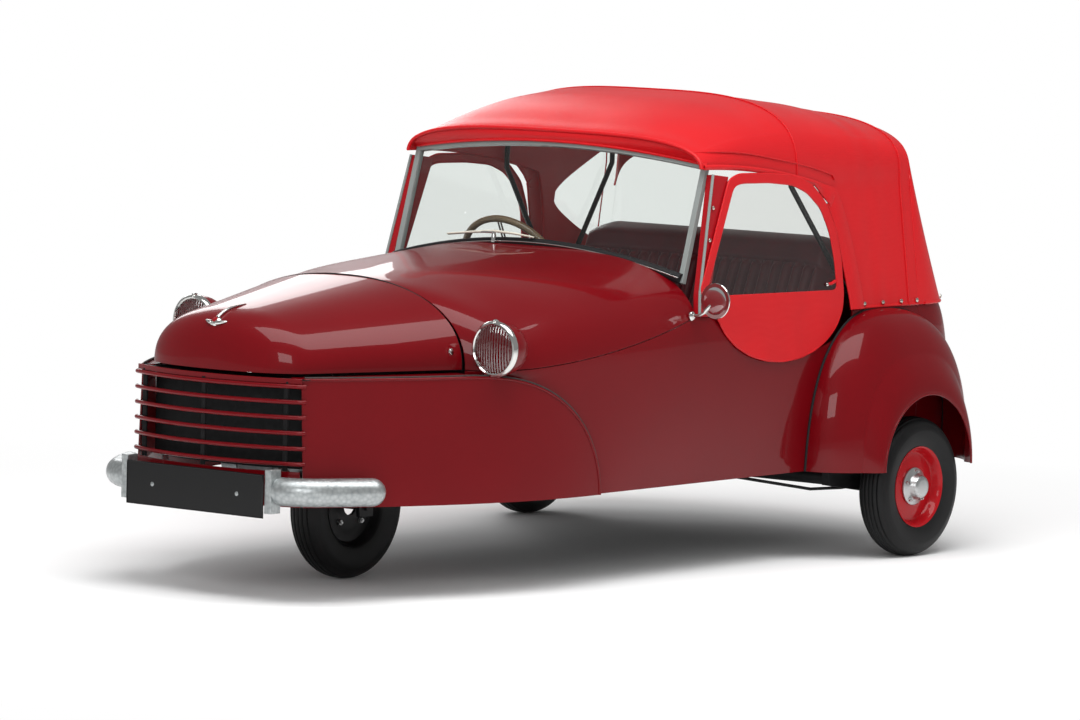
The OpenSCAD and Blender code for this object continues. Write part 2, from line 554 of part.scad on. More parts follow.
// outlines lie in the plane of the screen: station, height above the waist
module side_window_shape() polygon([[838, 186], [984, 474], [1020, 482], [1150, 480], [1262, 470], [1330, 446],
    [1390, 400], [1428, 330], [1446, 250], [1452, 170], [1452, 162], [846, 170]]);
module left_side_screen() color("#c81e22") on_side_screen() linear_extrude(screen_t) difference() {
    polygon(concat([[812, 186], [966, 492], [1012, 506], [1150, 504], [1272, 494], [1350, 468], [1414, 414],
        [1454, 336], [1474, 250], [1478, 150]], [for (a = [0:15:165]) [1178 + 300 * cos(a), 150 - 175 * sin(a)]],
        [[876, 120]]));
    side_window_shape();
}
module right_side_screen() mirror([1, 0, 0]) left_side_screen();
module side_windows() color([0.85, 0.9, 0.9, 0.3]) both_sides() on_side_screen()
    translate([0, 0, 0.5]) linear_extrude(2) offset(delta = -0.4) side_window_shape();

// ================= cabin =================
seat_hw = 470;
seat_lean = 22;
cushion_y = 1050;
cushion_top = 548;
seat_joint_y = 1440;
seat_back_t = 90;
seat_back_top = 925;
floor_top = sill_z + floor_t + gap;
function seat_face_y(z) = seat_joint_y + (z - cushion_top) * tan(seat_lean);
module seat_cushion() color("#3c1118") translate([-seat_hw, 0, 0]) rotate([90, 0, 90]) linear_extrude(2 * seat_hw)
    polygon([[cushion_y, floor_top], [cushion_y, cushion_top - 35], [cushion_y + 30, cushion_top],
        [seat_face_y(cushion_top) - 1, cushion_top], [seat_face_y(floor_top) - 1, floor_top]]);
module seat_back() color("#3c1118") {
    z0 = floor_top + seat_back_t * sin(seat_lean);
    h = (seat_back_top - z0) / cos(seat_lean);
    r = 110;
    translate([0, seat_face_y(z0), z0]) rotate([-seat_lean, 0, 0]) rotate([90, 0, 0])
        translate([0, 0, -seat_back_t]) linear_extrude(seat_back_t)
            polygon(concat([for (a = [0:10:90]) [seat_hw - r + r * cos(a), h - r + r * sin(a)]],
                [for (a = [90:10:180]) [r - seat_hw + r * cos(a), h - r + r * sin(a)]],
                [[-seat_hw, 0], [seat_hw, 0]]));
}
column_x = -262;
wheel_y = 1035;
wheel_z = 778;
column_rake = 28;
column_d = 38;
shaft_d = 18;
module on_column() translate([column_x, wheel_y, wheel_z]) rotate([90 + column_rake, 0, 0]) children();
column_len = (wheel_y - floor_y - 0.3 - column_d / 2 * sin(column_rake)) / cos(column_rake);
module steering_column() color("#1f1f21") on_column() difference() {
    translate([0, 0, 60]) cylinder(d = column_d, h = column_len - 60);
    translate([0, 0, 50]) cylinder(d = shaft_d + 2 * running, h = column_len);
}
module steering_wheel() color("#8a6a4c") on_column() {
    rotate_extrude($fn = 64) translate([steer_wheel_d / 2 - 11, 0]) circle(d = 22, $fn = 20);
    translate([0, 0, -16]) cylinder(d = 62, h = 44);
    for (a = [0:120:240]) rotate(a + 90) translate([20, 0, 0]) rotate([0, 90, 0])
        cylinder(d = 10, h = steer_wheel_d / 2 - 30);
    cylinder(d = shaft_d, h = 220);
}
module mirror_glass() {
    cylinder(d = 100, h = 3);
    translate([0, 0, 2]) cylinder(d1 = 98, d2 = 30, h = 18);
}
module mirror_piece() color("#b9bcbc") {
    base_x = side_x(776, 707) - 0.2;
    translate([650, 784, 766]) rotate([-90, 0, 0]) mirror_glass();
    bent_tube([[base_x + 3, 776, 722], [608, 780, 728], [632, 782, 752], [650, 792, 766]], 9);
    translate([base_x, 776, 720]) rotate([0, 90, 0]) cylinder(d = 26, h = 8);
}

// ================= ends =================
bumper_z = 299;
bumper_path = [[262, -578, bumper_z], [285, -577, bumper_z], [318, -562, bumper_z], [347, -536, bumper_z],
    [400, -461, bumper_z], [432, -402, bumper_z]];
module front_bumper() color("#b4b8b8") both_sides() {
    bent_tube(bumper_path, bumper_d, 20, true);
    translate([plate_size[0] / 2 + 0.4, plate_y + 2, bumper_z - 62])
        cube([24, front_y(plate_size[0] / 2) - gap - plate_y - 2, 124]);
}
plate_t = 3;
plate_z = 228;
module plate_blank() difference() {
    translate([-plate_size[0] / 2, 0, 0]) cube([plate_size[0], plate_t, plate_size[1]]);
    for (s = [-1, 1]) translate([s * plate_holes / 2, -1, plate_size[1] / 2]) rotate([-90, 0, 0])
        cylinder(d = plate_hole_d, h = plate_t + 2);
}
module front_number_plate() color("#151515") translate([0, plate_y, plate_z]) plate_blank();
rear_plate_z = 470;
module rear_number_plate() color("#151515")
    translate([0, tail_surface_y(0, rear_plate_z) + 0.3, rear_plate_z]) plate_blank();
rod_d = 9;
module brake_rod() color("#161616")
    bent_tube([[120, floor_y + 500, sill_z - rod_d / 2 - 0.3], [360, 1150, 244], [550, 1390, 196],
        [arm_x - rod_d / 2 - 0.3, 1480, 198], [arm_x - rod_d / 2 - 0.3, 1560, 200]], rod_d);

// ================= front wheel unit =================
crown_low = 416;
crown_t = 18;
blade_x = 62;
blade_t = 12;
blade_w = 56;
engine_size = [260, 180, 285];
engine_y = -405;
engine_z = 276;
fork_axle_len = 2 * (blade_x + blade_t) + 16;
module steering_unit() color("#26272a") {
    translate([0, -trail, crown_low]) cylinder(d = kingpin_d, h = head_z + head_h + 12 - crown_low);
    translate([0, -trail, head_z + head_h + 0.3]) cylinder(d = head_d - 12, h = 14);
    translate([-blade_x - blade_t, -trail - 40, crown_low]) cube([2 * (blade_x + blade_t), 80, crown_t]);
    translate([-50, engine_y + engine_size[1] + 0.3, crown_low])
        cube([100, -trail - 40 - engine_y - engine_size[1], crown_t]);
    both_sides() translate([blade_x, 0, 0]) rotate([90, 0, 90]) linear_extrude(blade_t)
        polygon([[-blade_w / 2, tyre_d / 2 - 26], [blade_w / 2, tyre_d / 2 - 26], [blade_w / 2 - 8, crown_low + 2],
            [-trail - 34, crown_low + 2]]);
    translate([-fork_axle_len / 2, 0, tyre_d / 2]) rotate([0, 90, 0]) cylinder(d = axle_d, h = fork_axle_len);
}
module engine() color("#6d6f70") translate([-engine_size[0] / 2, engine_y, engine_z]) cube(engine_size);

// ================= wheels =================
// tyre outline in a half plane: radius, across
module tyre() rotate_extrude($fn = 96) polygon(concat(
    [[rim_d / 2, -tyre_w * 0.36], [rim_d / 2, tyre_w * 0.36]],
    [for (a = [75:-15:-75]) [rim_d / 2 + 12 + (tyre_d / 2 - rim_d / 2 - 12) * pow(abs(cos(a)), 0.55),
        tyre_w / 2 * spow(sin(a), 0.8)]]));
wheel_bore_d = axle_d + 2 * running;
disc_in = 6;
rim_w = tyre_w * 0.72;
module rim() difference() {
    rotate_extrude($fn = 72) polygon([[rim_d / 2 - 0.2, -rim_w / 2], [rim_d / 2 - 0.2, rim_w / 2],
        [rim_d / 2 - 12, rim_w / 2], [rim_d / 2 - 16, disc_in], [48, disc_in + 10], [26, disc_in + 10],
        [26, disc_in], [46, disc_in], [rim_d / 2 - 20, disc_in - 6], [rim_d / 2 - 12, -rim_w / 2]]);
}
hub_d = 72;
hub_out = 52;
drum_d = 176;
module at_rear(side) translate([side * rear_track / 2, wheelbase, tyre_d / 2]) rotate([0, side * 90, 0]) children();
module hub() {
    difference() {
        union() {
            translate([0, 0, -44]) cylinder(d = 51.4, h = 44 + disc_in + 10);
            translate([0, 0, -46]) cylinder(d = drum_d, h = 40);
            translate([0, 0, disc_in + 10.3]) cylinder(d = hub_d, h = hub_out - disc_in - 10.3);
            translate([0, 0, disc_in + 5]) cylinder(d = 50, h = 20);
        }
        translate([0, 0, -47]) cylinder(d = wheel_bore_d, h = 47 + 36);
    }
}
module left_rear_tyre() color("#1b1b1d") at_rear(1) tyre();
module right_rear_tyre() color("#1b1b1d") at_rear(-1) tyre();
module left_rear_wheel() color("#b3141b") at_rear(1) rim();
module right_rear_wheel() color("#b3141b") at_rear(-1) rim();
module left_hub() color("#9c9fa0") at_rear(1) hub();
module right_hub() color("#9c9fa0") at_rear(-1) hub();
module front_tyre() color("#1b1b1d") translate([0, 0, tyre_d / 2]) rotate([0, 90, 0]) tyre();
module front_wheel() color("#b3141b") translate([0, 0, tyre_d / 2]) rotate([0, 90, 0]) difference() {
    union() {
        rim();
        translate([0, 0, -40]) cylinder(d = 54, h = 80);
    }
    translate([0, 0, -41]) cylinder(d = wheel_bore_d, h = 82);
}

// rear axle: a cross tube under the floor, a trailing arm and a stub on each side
tube_y = wheelbase - 262;
tube_d = 42;
tube_z = sill_z - tube_d / 2 - 0.3;
arm_x = 600;
arm_t = 24;
module rear_axle() color("#232427") {
    translate([-arm_x - arm_t, tube_y, tube_z]) rotate([0, 90, 0]) cylinder(d = tube_d, h = 2 * (arm_x + arm_t));
    both_sides() {
        translate([arm_x, 0, 0]) rotate([90, 0, 90]) linear_extrude(arm_t) polygon([
            [tube_y - 22, tube_z - 20], [wheelbase - 20, tyre_d / 2 - 28], [wheelbase + 26, tyre_d / 2 - 26],
            [wheelbase + 26, tyre_d / 2 + 26], [wheelbase - 20, tyre_d / 2 + 28], [tube_y - 22, tube_z + 20]]);
        translate([arm_x + arm_t - 1, wheelbase, tyre_d / 2]) rotate([0, 90, 0])
            cylinder(d = axle_d, h = rear_track / 2 + 30 - arm_x - arm_t + 1);
    }
}

placed() floor_pan();
placed() front_bulkhead();
placed() left_side_panel();
placed() right_side_panel();
placed() tail_panel();
placed() scuttle();
placed() dashboard();
placed() front_cowl();
placed() grille();
placed() bonnet();
placed() bonnet_ornament();
placed() left_rear_wing();
placed() right_rear_wing();
placed() headlamps();
placed() headlamp_glasses();
placed() tail_lamps();
placed() windscreen_frame();
placed() windscreen_glass();
placed() wiper();
placed() hood();
placed() hood_frame();
placed() rear_window();
placed() left_side_screen();
placed() right_side_screen();
placed() side_windows();
placed() seat_cushion();
placed() seat_back();
placed() steering_column();
placed() steering_wheel();
placed() mirror_piece();  // mirror
placed() front_bumper();
placed() front_number_plate();
placed() rear_number_plate();
placed() brake_rod();
placed() steering_unit();
placed() engine();
placed() front_tyre();
placed() front_wheel();
placed() rear_axle();
placed() left_rear_tyre();
placed() left_rear_wheel();
placed() left_hub();
placed() right_rear_tyre();
placed() right_rear_wheel();
placed() right_hub();
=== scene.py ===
import bpy
import json
import math
import numpy as np
from mathutils import Matrix


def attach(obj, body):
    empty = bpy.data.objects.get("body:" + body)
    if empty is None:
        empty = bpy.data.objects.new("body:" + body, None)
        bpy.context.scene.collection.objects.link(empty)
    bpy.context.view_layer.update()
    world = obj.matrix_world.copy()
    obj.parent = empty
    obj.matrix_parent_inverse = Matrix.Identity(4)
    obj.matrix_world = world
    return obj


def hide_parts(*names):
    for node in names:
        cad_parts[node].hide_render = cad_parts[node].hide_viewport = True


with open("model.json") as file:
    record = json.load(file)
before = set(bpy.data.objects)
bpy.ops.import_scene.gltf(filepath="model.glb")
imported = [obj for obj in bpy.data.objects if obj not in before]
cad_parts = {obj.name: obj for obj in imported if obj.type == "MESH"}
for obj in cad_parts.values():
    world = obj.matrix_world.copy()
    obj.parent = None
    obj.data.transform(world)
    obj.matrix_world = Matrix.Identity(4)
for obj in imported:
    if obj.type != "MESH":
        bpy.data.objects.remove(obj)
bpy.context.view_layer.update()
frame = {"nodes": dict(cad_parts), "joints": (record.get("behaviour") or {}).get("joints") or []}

# ---------------------------------------------------------------- floor, light and camera
# A pale seamless floor under one wide overhead softbox and a softer one from the nose.
# The ground is the frame's z = 0, where the tyres stand.


def linear(hex_colour):
    """sRGB hex colour as linear RGBA"""
    parts = [int(hex_colour[i:i + 2], 16) / 255 for i in (1, 3, 5)]
    return [c / 12.92 if c <= 0.04045 else ((c + 0.055) / 1.055) ** 2.4 for c in parts] + [1.0]


def add(tree, kind, sockets=None, **settings):
    """adds one node; a socket's value is a number, a colour or another node's output"""
    node = tree.nodes.new(kind)
    for key, value in settings.items():
        setattr(node, key, value)
    for key, value in (sockets or {}).items():
        if isinstance(value, bpy.types.NodeSocket):
            tree.links.new(value, node.inputs[key])
        else:
            node.inputs[key].default_value = value
    return node


slot_of = {}


def new_material(name, slot_name=None):
    """an empty material, its node tree and its place in object space; its slot name is recorded"""
    mat = bpy.data.materials.new(name)
    mat.use_nodes = True
    mat.node_tree.nodes.clear()
    slot_of[mat.name] = slot_name
    return mat, mat.node_tree, add(mat.node_tree, "ShaderNodeTexCoord").outputs["Object"]


def finish_material(tree, kind, sockets):
    shader = add(tree, kind, sockets)
    add(tree, "ShaderNodeOutputMaterial", {"Surface": shader.outputs[0]})


def noise(tree, coords, scale, detail=2.0):
    sockets = {"Vector": coords, "Scale": scale, "Detail": detail}
    return add(tree, "ShaderNodeTexNoise", sockets).outputs["Fac"]


def spread(tree, value, low, high):
    """a value of 0 to 1 as low to high"""
    sockets = {"Value": value, "To Min": low, "To Max": high}
    return add(tree, "ShaderNodeMapRange", sockets).outputs[0]


def maths(tree, operation, first, second, **settings):
    return add(tree, "ShaderNodeMath", {0: first, 1: second}, operation=operation,
               **settings).outputs[0]


def blend(tree, share, colour, other):
    sockets = {"Fac": share, "Color1": linear(colour), "Color2": linear(other)}
    return add(tree, "ShaderNodeMixRGB", sockets).outputs[0]


def bumps(tree, height, strength, depth_mm):
    sockets = {"Height": height, "Strength": strength, "Distance": depth_mm / 1000}
    return add(tree, "ShaderNodeBump", sockets).outputs[0]


fade_from, fade_to, floor_size = 1.5, 3.4, 60
floor_mat, tree, coords = new_material("studio_floor")
reach = add(tree, "ShaderNodeVectorMath", {0: coords}, operation="LENGTH")
fade = add(tree, "ShaderNodeMapRange", {"Value": reach.outputs["Value"], "From Min": fade_from,
                                        "From Max": fade_to})
rays = add(tree, "ShaderNodeLightPath").outputs
bounced = maths(tree, "MAXIMUM", rays["Is Diffuse Ray"], rays["Is Glossy Ray"])
unlit = maths(tree, "SUBTRACT", fade.outputs[0], bounced, use_clamp=True)
floor_shade = add(tree, "ShaderNodeBsdfDiffuse", {"Color": linear("#fafafa")})
floor_glow = add(tree, "ShaderNodeEmission", {"Color": linear("#ffffff"), "Strength": 1.0})
finish_material(tree, "ShaderNodeMixShader", {0: unlit, 1: floor_shade.outputs[0],
                                              2: floor_glow.outputs[0]})
bpy.ops.mesh.primitive_plane_add(size=floor_size, location=(0, 0, 0))
floor = bpy.context.object
floor.name = "studio_floor"
floor.data.materials.append(floor_mat)

glossy_light, diffuse_light = 0.3, 0.55
world = bpy.data.worlds.new("studio")
bpy.context.scene.world = world
world.use_nodes = True
tree = world.node_tree
tree.nodes.clear()
rays = add(tree, "ShaderNodeLightPath").outputs
seen = maths(tree, "MAXIMUM", rays["Is Camera Ray"], rays["Is Transmission Ray"])
mirrored = maths(tree, "MULTIPLY", rays["Is Glossy Ray"], glossy_light)
shown = maths(tree, "MAXIMUM", seen, mirrored)
diffused = maths(tree, "MULTIPLY", rays["Is Diffuse Ray"], diffuse_light)
strength = maths(tree, "MAXIMUM", shown, diffused)
sky = add(tree, "ShaderNodeBackground", {"Color": linear("#ffffff"), "Strength": strength})
add(tree, "ShaderNodeOutputWorld", {"Surface": sky.outputs[0]})


def standing(x, y, z, place):
    """the matrix of a thing at a place whose own axes are x, y and z"""
    return Matrix([[x[i], y[i], z[i], place[i]] for i in range(3)] + [[0, 0, 0, 1]])


def softbox(name, place, aim, size, power):
    """a rectangular lamp of the given size in metres and power in watts"""
    lamp = bpy.data.lights.new(name, "AREA")
    lamp.shape = "RECTANGLE"
    lamp.size = size[0]
    lamp.size_y = size[1]
    lamp.energy = power
    holder = bpy.data.objects.new(name, lamp)
    bpy.context.scene.collection.objects.link(holder)
    direction = np.array(aim, float) - np.array(place, float)
    z = -direction / np.linalg.norm(direction)
    x = np.cross([0, 0, 1], z) if abs(z[2]) < 0.99 else np.array([1.0, 0, 0])
    x = x / np.linalg.norm(x)
    y = np.cross(z, x)
    holder.matrix_world = standing(x, y, z, place)


softbox("overhead_softbox", (1.2, -1.0, 4.2), (0.0, 0.0, 0.5), (5.0, 2.6), 185)
softbox("nose_softbox", (3.2, -5.6, 2.6), (0.0, -0.6, 0.6), (2.6, 1.8), 75)
softbox("rear_softbox", (-5.0, 3.5, 2.8), (0.0, 0.4, 0.7), (2.5, 2.0), 60)

axle = {j["name"]: j for j in frame["joints"]}
front_axle_y = axle["front_wheel_spin"]["pos_m"][1]
# the camera stands 16 m off at the car's front left corner, level with a standing person's eyes
camera_place = np.array([10.778, -12.6234 + front_axle_y, 2.0316])
turn, dip, tilt = np.radians([38.7, 4.8, 1.4])
ahead = np.array([-np.sin(turn) * np.cos(dip), np.cos(turn) * np.cos(dip), -np.sin(dip)])
flat_right = np.array([np.cos(turn), np.sin(turn), 0.0])
flat_up = np.cross(flat_right, ahead)
right = np.cos(tilt) * flat_right + np.sin(tilt) * flat_up
up = np.cos(tilt) * flat_up - np.sin(tilt) * flat_right
lens = bpy.data.cameras.new("camera")
lens.lens = 203.9
lens.sensor_width = 36
lens.shift_y = -0.0099
lens.clip_end = 200
camera = bpy.data.objects.new("camera", lens)
bpy.context.scene.collection.objects.link(camera)
camera.matrix_world = standing(right, up, -ahead, camera_place)
bpy.context.scene.camera = camera
bpy.context.scene.view_settings.view_transform = "Standard"

# ---------------------------------------------------------------- body panels
# The sides, the tail and the scuttle are hand-beaten sheet steel over a light frame, flat-filed,
# primed and sprayed with a deep maroon cellulose enamel that is polished to a mirror.
# Stations are in mm from the front axle, heights in mm from the ground.
paint_colour = "#6d040d"
cloud_shade = 0.82  # how dark the paint's faint clouds are


def gloss_paint(name, colour, peel_mm=9.0, slot_name="body_paint"):
    """sprayed enamel: a clear, mirror-like top coat with faint orange peel over an even colour"""
    mat, tree, coords = new_material(name, slot_name)
    cloud = noise(tree, coords, 4.0, 4.0)
    darker = [c * cloud_shade for c in linear(colour)[:3]] + [1]
    tint = add(tree, "ShaderNodeMixRGB", {"Fac": cloud, "Color1": linear(colour), "Color2": darker})
    peel = noise(tree, coords, 1000 / peel_mm)
    finish_material(tree, "ShaderNodeBsdfPrincipled", {
        "Base Color": tint.outputs[0], "Roughness": spread(tree, cloud, 0.30, 0.38),
        "Normal": bumps(tree, peel, 0.02, 0.6),
        "Specular IOR Level": 0.05, "Coat Weight": 0.42, "Coat Roughness": 0.03})
    return mat


body_paint = gloss_paint("maroon_enamel", paint_colour)


def to_frame(points):
    """mm from the front axle to metres in the frame"""
    p = np.array(points, float) / 1000
    p[..., 1] += front_axle_y
    return p


def piece(name, points, faces, mat, body="body", slot_name=None, replaces=(), crisp=40):
    """a mesh object with smooth faces and crisp edges where they turn by more than crisp degrees;
    slot_name is not used"""
    mesh = bpy.data.meshes.new(name)
    mesh.from_pydata([tuple(p) for p in to_frame(points).reshape(-1, 3)], [],
                     [tuple(f) for f in faces])
    mesh.validate()
    mesh.update()
    mesh.shade_smooth()
    mesh.set_sharp_from_angle(angle=math.radians(crisp))
    mesh.materials.append(mat)
    obj = bpy.data.objects.new(name, mesh)
    bpy.context.scene.collection.objects.link(obj)
    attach(obj, body)
    slot_name or slot_of[mat.name]
    if replaces:
        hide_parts(*replaces)
    return obj


def normals(grid):
    du = np.gradient(grid, axis=0)
    dv = np.gradient(grid, axis=1)
    n = np.cross(du, dv)
    return n / np.maximum(np.linalg.norm(n, axis=2, keepdims=True), 1e-9)


round_from = 50  # degrees; edges that turn by more than this are rounded


def shell(name, grid, thick, mat, inner=None, skip=None, **more):
    """closed sheet of the given thickness on a grid of points, with open cells left out"""
    grid = np.array(grid, float)
    m, n = grid.shape[:2]
    inside = grid - thick * normals(grid) if inner is None else np.array(inner, float)
    k = m * n
    faces = []

    def closed(i, j):
        return 0 <= i < m - 1 and 0 <= j < n - 1 and not (skip and skip(i, j))

    for i in range(m - 1):
        for j in range(n - 1):
            if not closed(i, j):
                continue
            a = i * n + j
            faces.append((a, a + n, a + n + 1, a + 1))
            faces.append((a + 1 + k, a + n + 1 + k, a + n + k, a + k))
            for near, p, q in (((i, j - 1), a, a + n), ((i + 1, j), a + n, a + n + 1),
                               ((i, j + 1), a + n + 1, a + 1), ((i - 1, j), a + 1, a)):
                if not closed(*near):
                    faces.append((q, p, p + k, q + k))
    obj = piece(name, np.concatenate([grid.reshape(-1, 3), inside.reshape(-1, 3)]), faces, mat,
                **more)
    rounding = obj.modifiers.new("edge", "BEVEL")
    rounding.width = min(0.0012, thick / 3000)
    rounding.segments = 2
    rounding.limit_method = "ANGLE"
    rounding.angle_limit = math.radians(round_from)
    return obj


def flipped(grid):
    """the same sheet on the car's other side"""
    return np.array(grid, float)[:, ::-1] * [-1, 1, 1]


both_sides = ((1, "left"), (-1, "right"))
side_w, sill_z, waist_z, panel_t = 588, 254, 600, 4
seam_w, seam_y, seam_z = 433, -30, 832
screen_z, screen_y, corner_y, tail_y = 884, 792, 1850, 2200
quarter_y, step_y, scuttle_end_y = 1535, 1250, 800
tail_exp = 3.2
gap = 0.4


def clamp01(t):
    return min(1.0, max(0.0, t))


def lerp(a, b, t):
    return a + (b - a) * t


def fall(t, p):
    return 1.0 if t <= 0 else 0.0 if t >= 1 else (1 - t ** p) ** (1 / p)


def roll(t, p):
    return 1.0 if t >= 1 else 0.0 if t <= 0 else (1 - (1 - t) ** p) ** (1 / p)


def spow(c, e):
    return math.copysign(abs(c) ** e, c)


def sin(a):
    return math.sin(math.radians(a))


def cos(a):
    return math.cos(math.radians(a))


def along(y):
    return clamp01((y - seam_y) / (screen_y - seam_y))


def body_w(y):
    swell = 0.62 * math.exp(-(y - seam_y) / 55)
    return side_w - (side_w - seam_w) * (swell + 0.38 * (max(0, 850 - y) / (850 - seam_y)) ** 2)


def crown_z(y):
    return lerp(seam_z, screen_z, along(y))


def crown_exp(y):
    return lerp(2.3, 3.0, along(y)) - 0.3 * math.exp(-((y - 110) / 110) ** 2)


def side_x(y, z):
    if z <= waist_z:
        sill = side_w - 10 - 74 * (max(0, 450 - y) / 480) ** 2
        return lerp(body_w(y), sill, ((waist_z - z) / (waist_z - sill_z)) ** 2)
    return body_w(y) * fall((z - waist_z) / (crown_z(y) - waist_z), crown_exp(y))


def side_top(y):
    if y < scuttle_end_y:
        return lerp(waist_z, 716, ((y - seam_y) / (scuttle_end_y - seam_y)) ** 2)
    if y < step_y:
        return lerp(594, 716, cos(90 * (y - scuttle_end_y) / (step_y - scuttle_end_y)) ** 2)
    if y < quarter_y:
        return lerp(722, 594, fall((y - step_y) / (quarter_y - step_y), 2))
    return 722 + 10 * clamp01((y - quarter_y) / 300)


cowl_top, arch_y, arch_start_y = 590, 362, -80
wing_w, grille_side_y = 608, -522


def cowl_w(y):
    return wing_w - 12 - 0.00041 * max(0, 330 - y) ** 2


def cowl_x(y, z):
    return cowl_w(y) - 14 * (z - sill_z) / (cowl_top - sill_z)


def arch_at(z):
    return arch_start_y + (arch_y - arch_start_y) * fall((z - sill_z) / (cowl_top - sill_z), 2.1)


def tail_end(z):
    return tail_y - 0.00093 * (z - 400) ** 2 * (1 if z > 400 else 0.5)


def side_point(y, v):
    start = max(seam_y, arch_at(lerp(sill_z, cowl_top + 8, v)) + 2 * gap)
    yy = corner_y - (corner_y - y) * (corner_y - start) / (corner_y - seam_y)
    z = lerp(sill_z, side_top(yy), v)
    return [side_x(yy, z), yy, z]


front_ys = [lerp(seam_y, scuttle_end_y, (i / 44) ** 1.6) for i in range(45)]
side_ys = front_ys + [lerp(scuttle_end_y, step_y, i / 28) for i in range(1, 29)]
side_ys += [lerp(step_y, quarter_y, sin(90 * i / 28)) for i in range(1, 29)]
side_ys += [lerp(quarter_y, corner_y, i / 14) for i in range(1, 15)]
side_grid = np.array([[side_point(y, j / 40) for j in range(41)] for y in side_ys])
shell("left_side_skin", side_grid, panel_t, body_paint, replaces=["left_side_panel"])
shell("right_side_skin", flipped(side_grid), panel_t, body_paint, replaces=["right_side_panel"])


def tail_point(a, z):
    depth = tail_end(z) - corner_y - gap
    return [side_x(corner_y, z) * spow(cos(a), 2 / tail_exp),
            corner_y + gap + depth * abs(sin(a)) ** (2 / tail_exp), z]


def tail_angle(t):
    return 90 - 90 * spow(cos(180 * t), 0.8)


tail_top = side_top(corner_y)
tail_grid = [[tail_point(tail_angle(i / 88), lerp(sill_z, tail_top, j / 36)) for j in range(37)]
             for i in range(89)]
shell("tail_skin", tail_grid, panel_t, body_paint, replaces=["tail_panel"])


def scuttle_point(y, a):
    w, h, e = body_w(y), crown_z(y) - waist_z, crown_exp(y)
    low = math.degrees(math.asin(clamp01(((side_top(y) + 5 * gap - waist_z) / h) ** (e / 2))))
    q = lerp(low, 180 - low, a)
    return [w * spow(cos(q), 2 / e), y, waist_z + h * sin(q) ** (2 / e)]


screen_hw, foot_y, rail_t = 512, screen_y - 3, 16


def scuttle_end(a):
    return foot_y - rail_t + 0.5 + 20 * (scuttle_point(screen_y, a)[0] / screen_hw) ** 2


scuttle_grid = [[scuttle_point(lerp(seam_y, scuttle_end(j / 80), (i / 44) ** 1.6), j / 80)
                 for j in range(81)] for i in range(45)]
shell("scuttle_skin", scuttle_grid, panel_t, body_paint, replaces=["scuttle"])

# ---------------------------------------------------------------- bonnet and its seam
# One pressed steel lid in the same enamel, hinged at its rear edge. A rubber welt is clamped
# in the seam behind it, and a sprung button on each side keeps it shut.
nose_y, bonnet_gap = -580, 9
bonnet_end = seam_y - bonnet_gap


def bonnet_w(y):
    return (seam_w - 0.36 * (seam_y - y)) * roll((y - nose_y) / 110, 2.5)


def bonnet_crown(y):
    return waist_z + (seam_z - waist_z - 0.16 * (seam_y - y)) * roll((y - nose_y) / 130, 3)


def bonnet_point(y, a, k=1.0):
    side = k * bonnet_w(y) * spow(cos(180 * a), 2 / 2.3)
    rise = k * (bonnet_crown(y) - waist_z - 4) * abs(sin(180 * a)) ** (2 / 2.3)
    return [side, y, waist_z + 4 + rise]


bonnet_ts = [0.0006 + 4.16 * (i / 60) ** 3 for i in range(61)]
bonnet_ys = [nose_y + 130 * t for t in bonnet_ts if nose_y + 130 * t < bonnet_end] + [bonnet_end]
bonnet_grid = [[bonnet_point(bonnet_ys[0], j / 88, 0.05) for j in range(89)]]
bonnet_grid += [[bonnet_point(y, j / 88) for j in range(89)] for y in bonnet_ys]
shell("bonnet_skin", bonnet_grid, panel_t, body_paint, body="bonnet", replaces=["bonnet"])


def black_rubber(name, colour="#141416", roughness=0.55):
    """extruded rubber: matt black that greys where it is handled"""
    mat, tree, coords = new_material(name, "dark_steel")
    finish_material(tree, "ShaderNodeBsdfPrincipled", {
        "Base Color": blend(tree, noise(tree, coords, 60.0, 6.0), colour, "#1f1f20"),
        "Roughness": roughness, "Specular IOR Level": 0.22,
        "Normal": bumps(tree, noise(tree, coords, 900.0), 0.25, 0.5)})
    return mat


rubber = black_rubber("welt_rubber")


def tube(name, path, radius, mat, sides=14, closed=False, **more):
    """round bar or cord along a path in mm; radius may be one number or one per point"""
    p = np.array(path, float)
    count = len(p)
    radii = np.full(count, float(radius)) if np.isscalar(radius) else np.array(radius, float)
    if closed:
        tangents = np.roll(p, -1, 0) - np.roll(p, 1, 0)
    else:
        tangents = np.gradient(p, axis=0)
    tangents /= np.linalg.norm(tangents, axis=1, keepdims=True)
    u = np.cross(tangents[0], [0, 0, 1] if abs(tangents[0][2]) < 0.9 else [1, 0, 0])
    rings = []
    for i in range(count):
        u = u - tangents[i] * np.dot(u, tangents[i])
        u /= np.linalg.norm(u)
        v = np.cross(tangents[i], u)
        angles = np.linspace(0, 2 * np.pi, sides, endpoint=False)
        rings.append(p[i] + radii[i] * (np.cos(angles)[:, None] * u + np.sin(angles)[:, None] * v))
    steps = count if closed else count - 1
    faces = []
    for i in range(steps):
        a, b = i * sides, ((i + 1) % count) * sides
        faces += [(a + k, a + (k + 1) % sides, b + (k + 1) % sides, b + k) for k in range(sides)]
    if not closed:
        faces.append(tuple(range(sides))[::-1])
        faces.append(tuple((count - 1) * sides + k for k in range(sides)))
    return piece(name, np.array(rings), faces, mat, **more)


seam_line = [scuttle_point(seam_y - 4.5, 0.001 + 0.998 * j / 90) for j in range(91)]
tube("bonnet_welt", [[x, y, z - 2] for x, y, z in seam_line], 4.2, rubber)


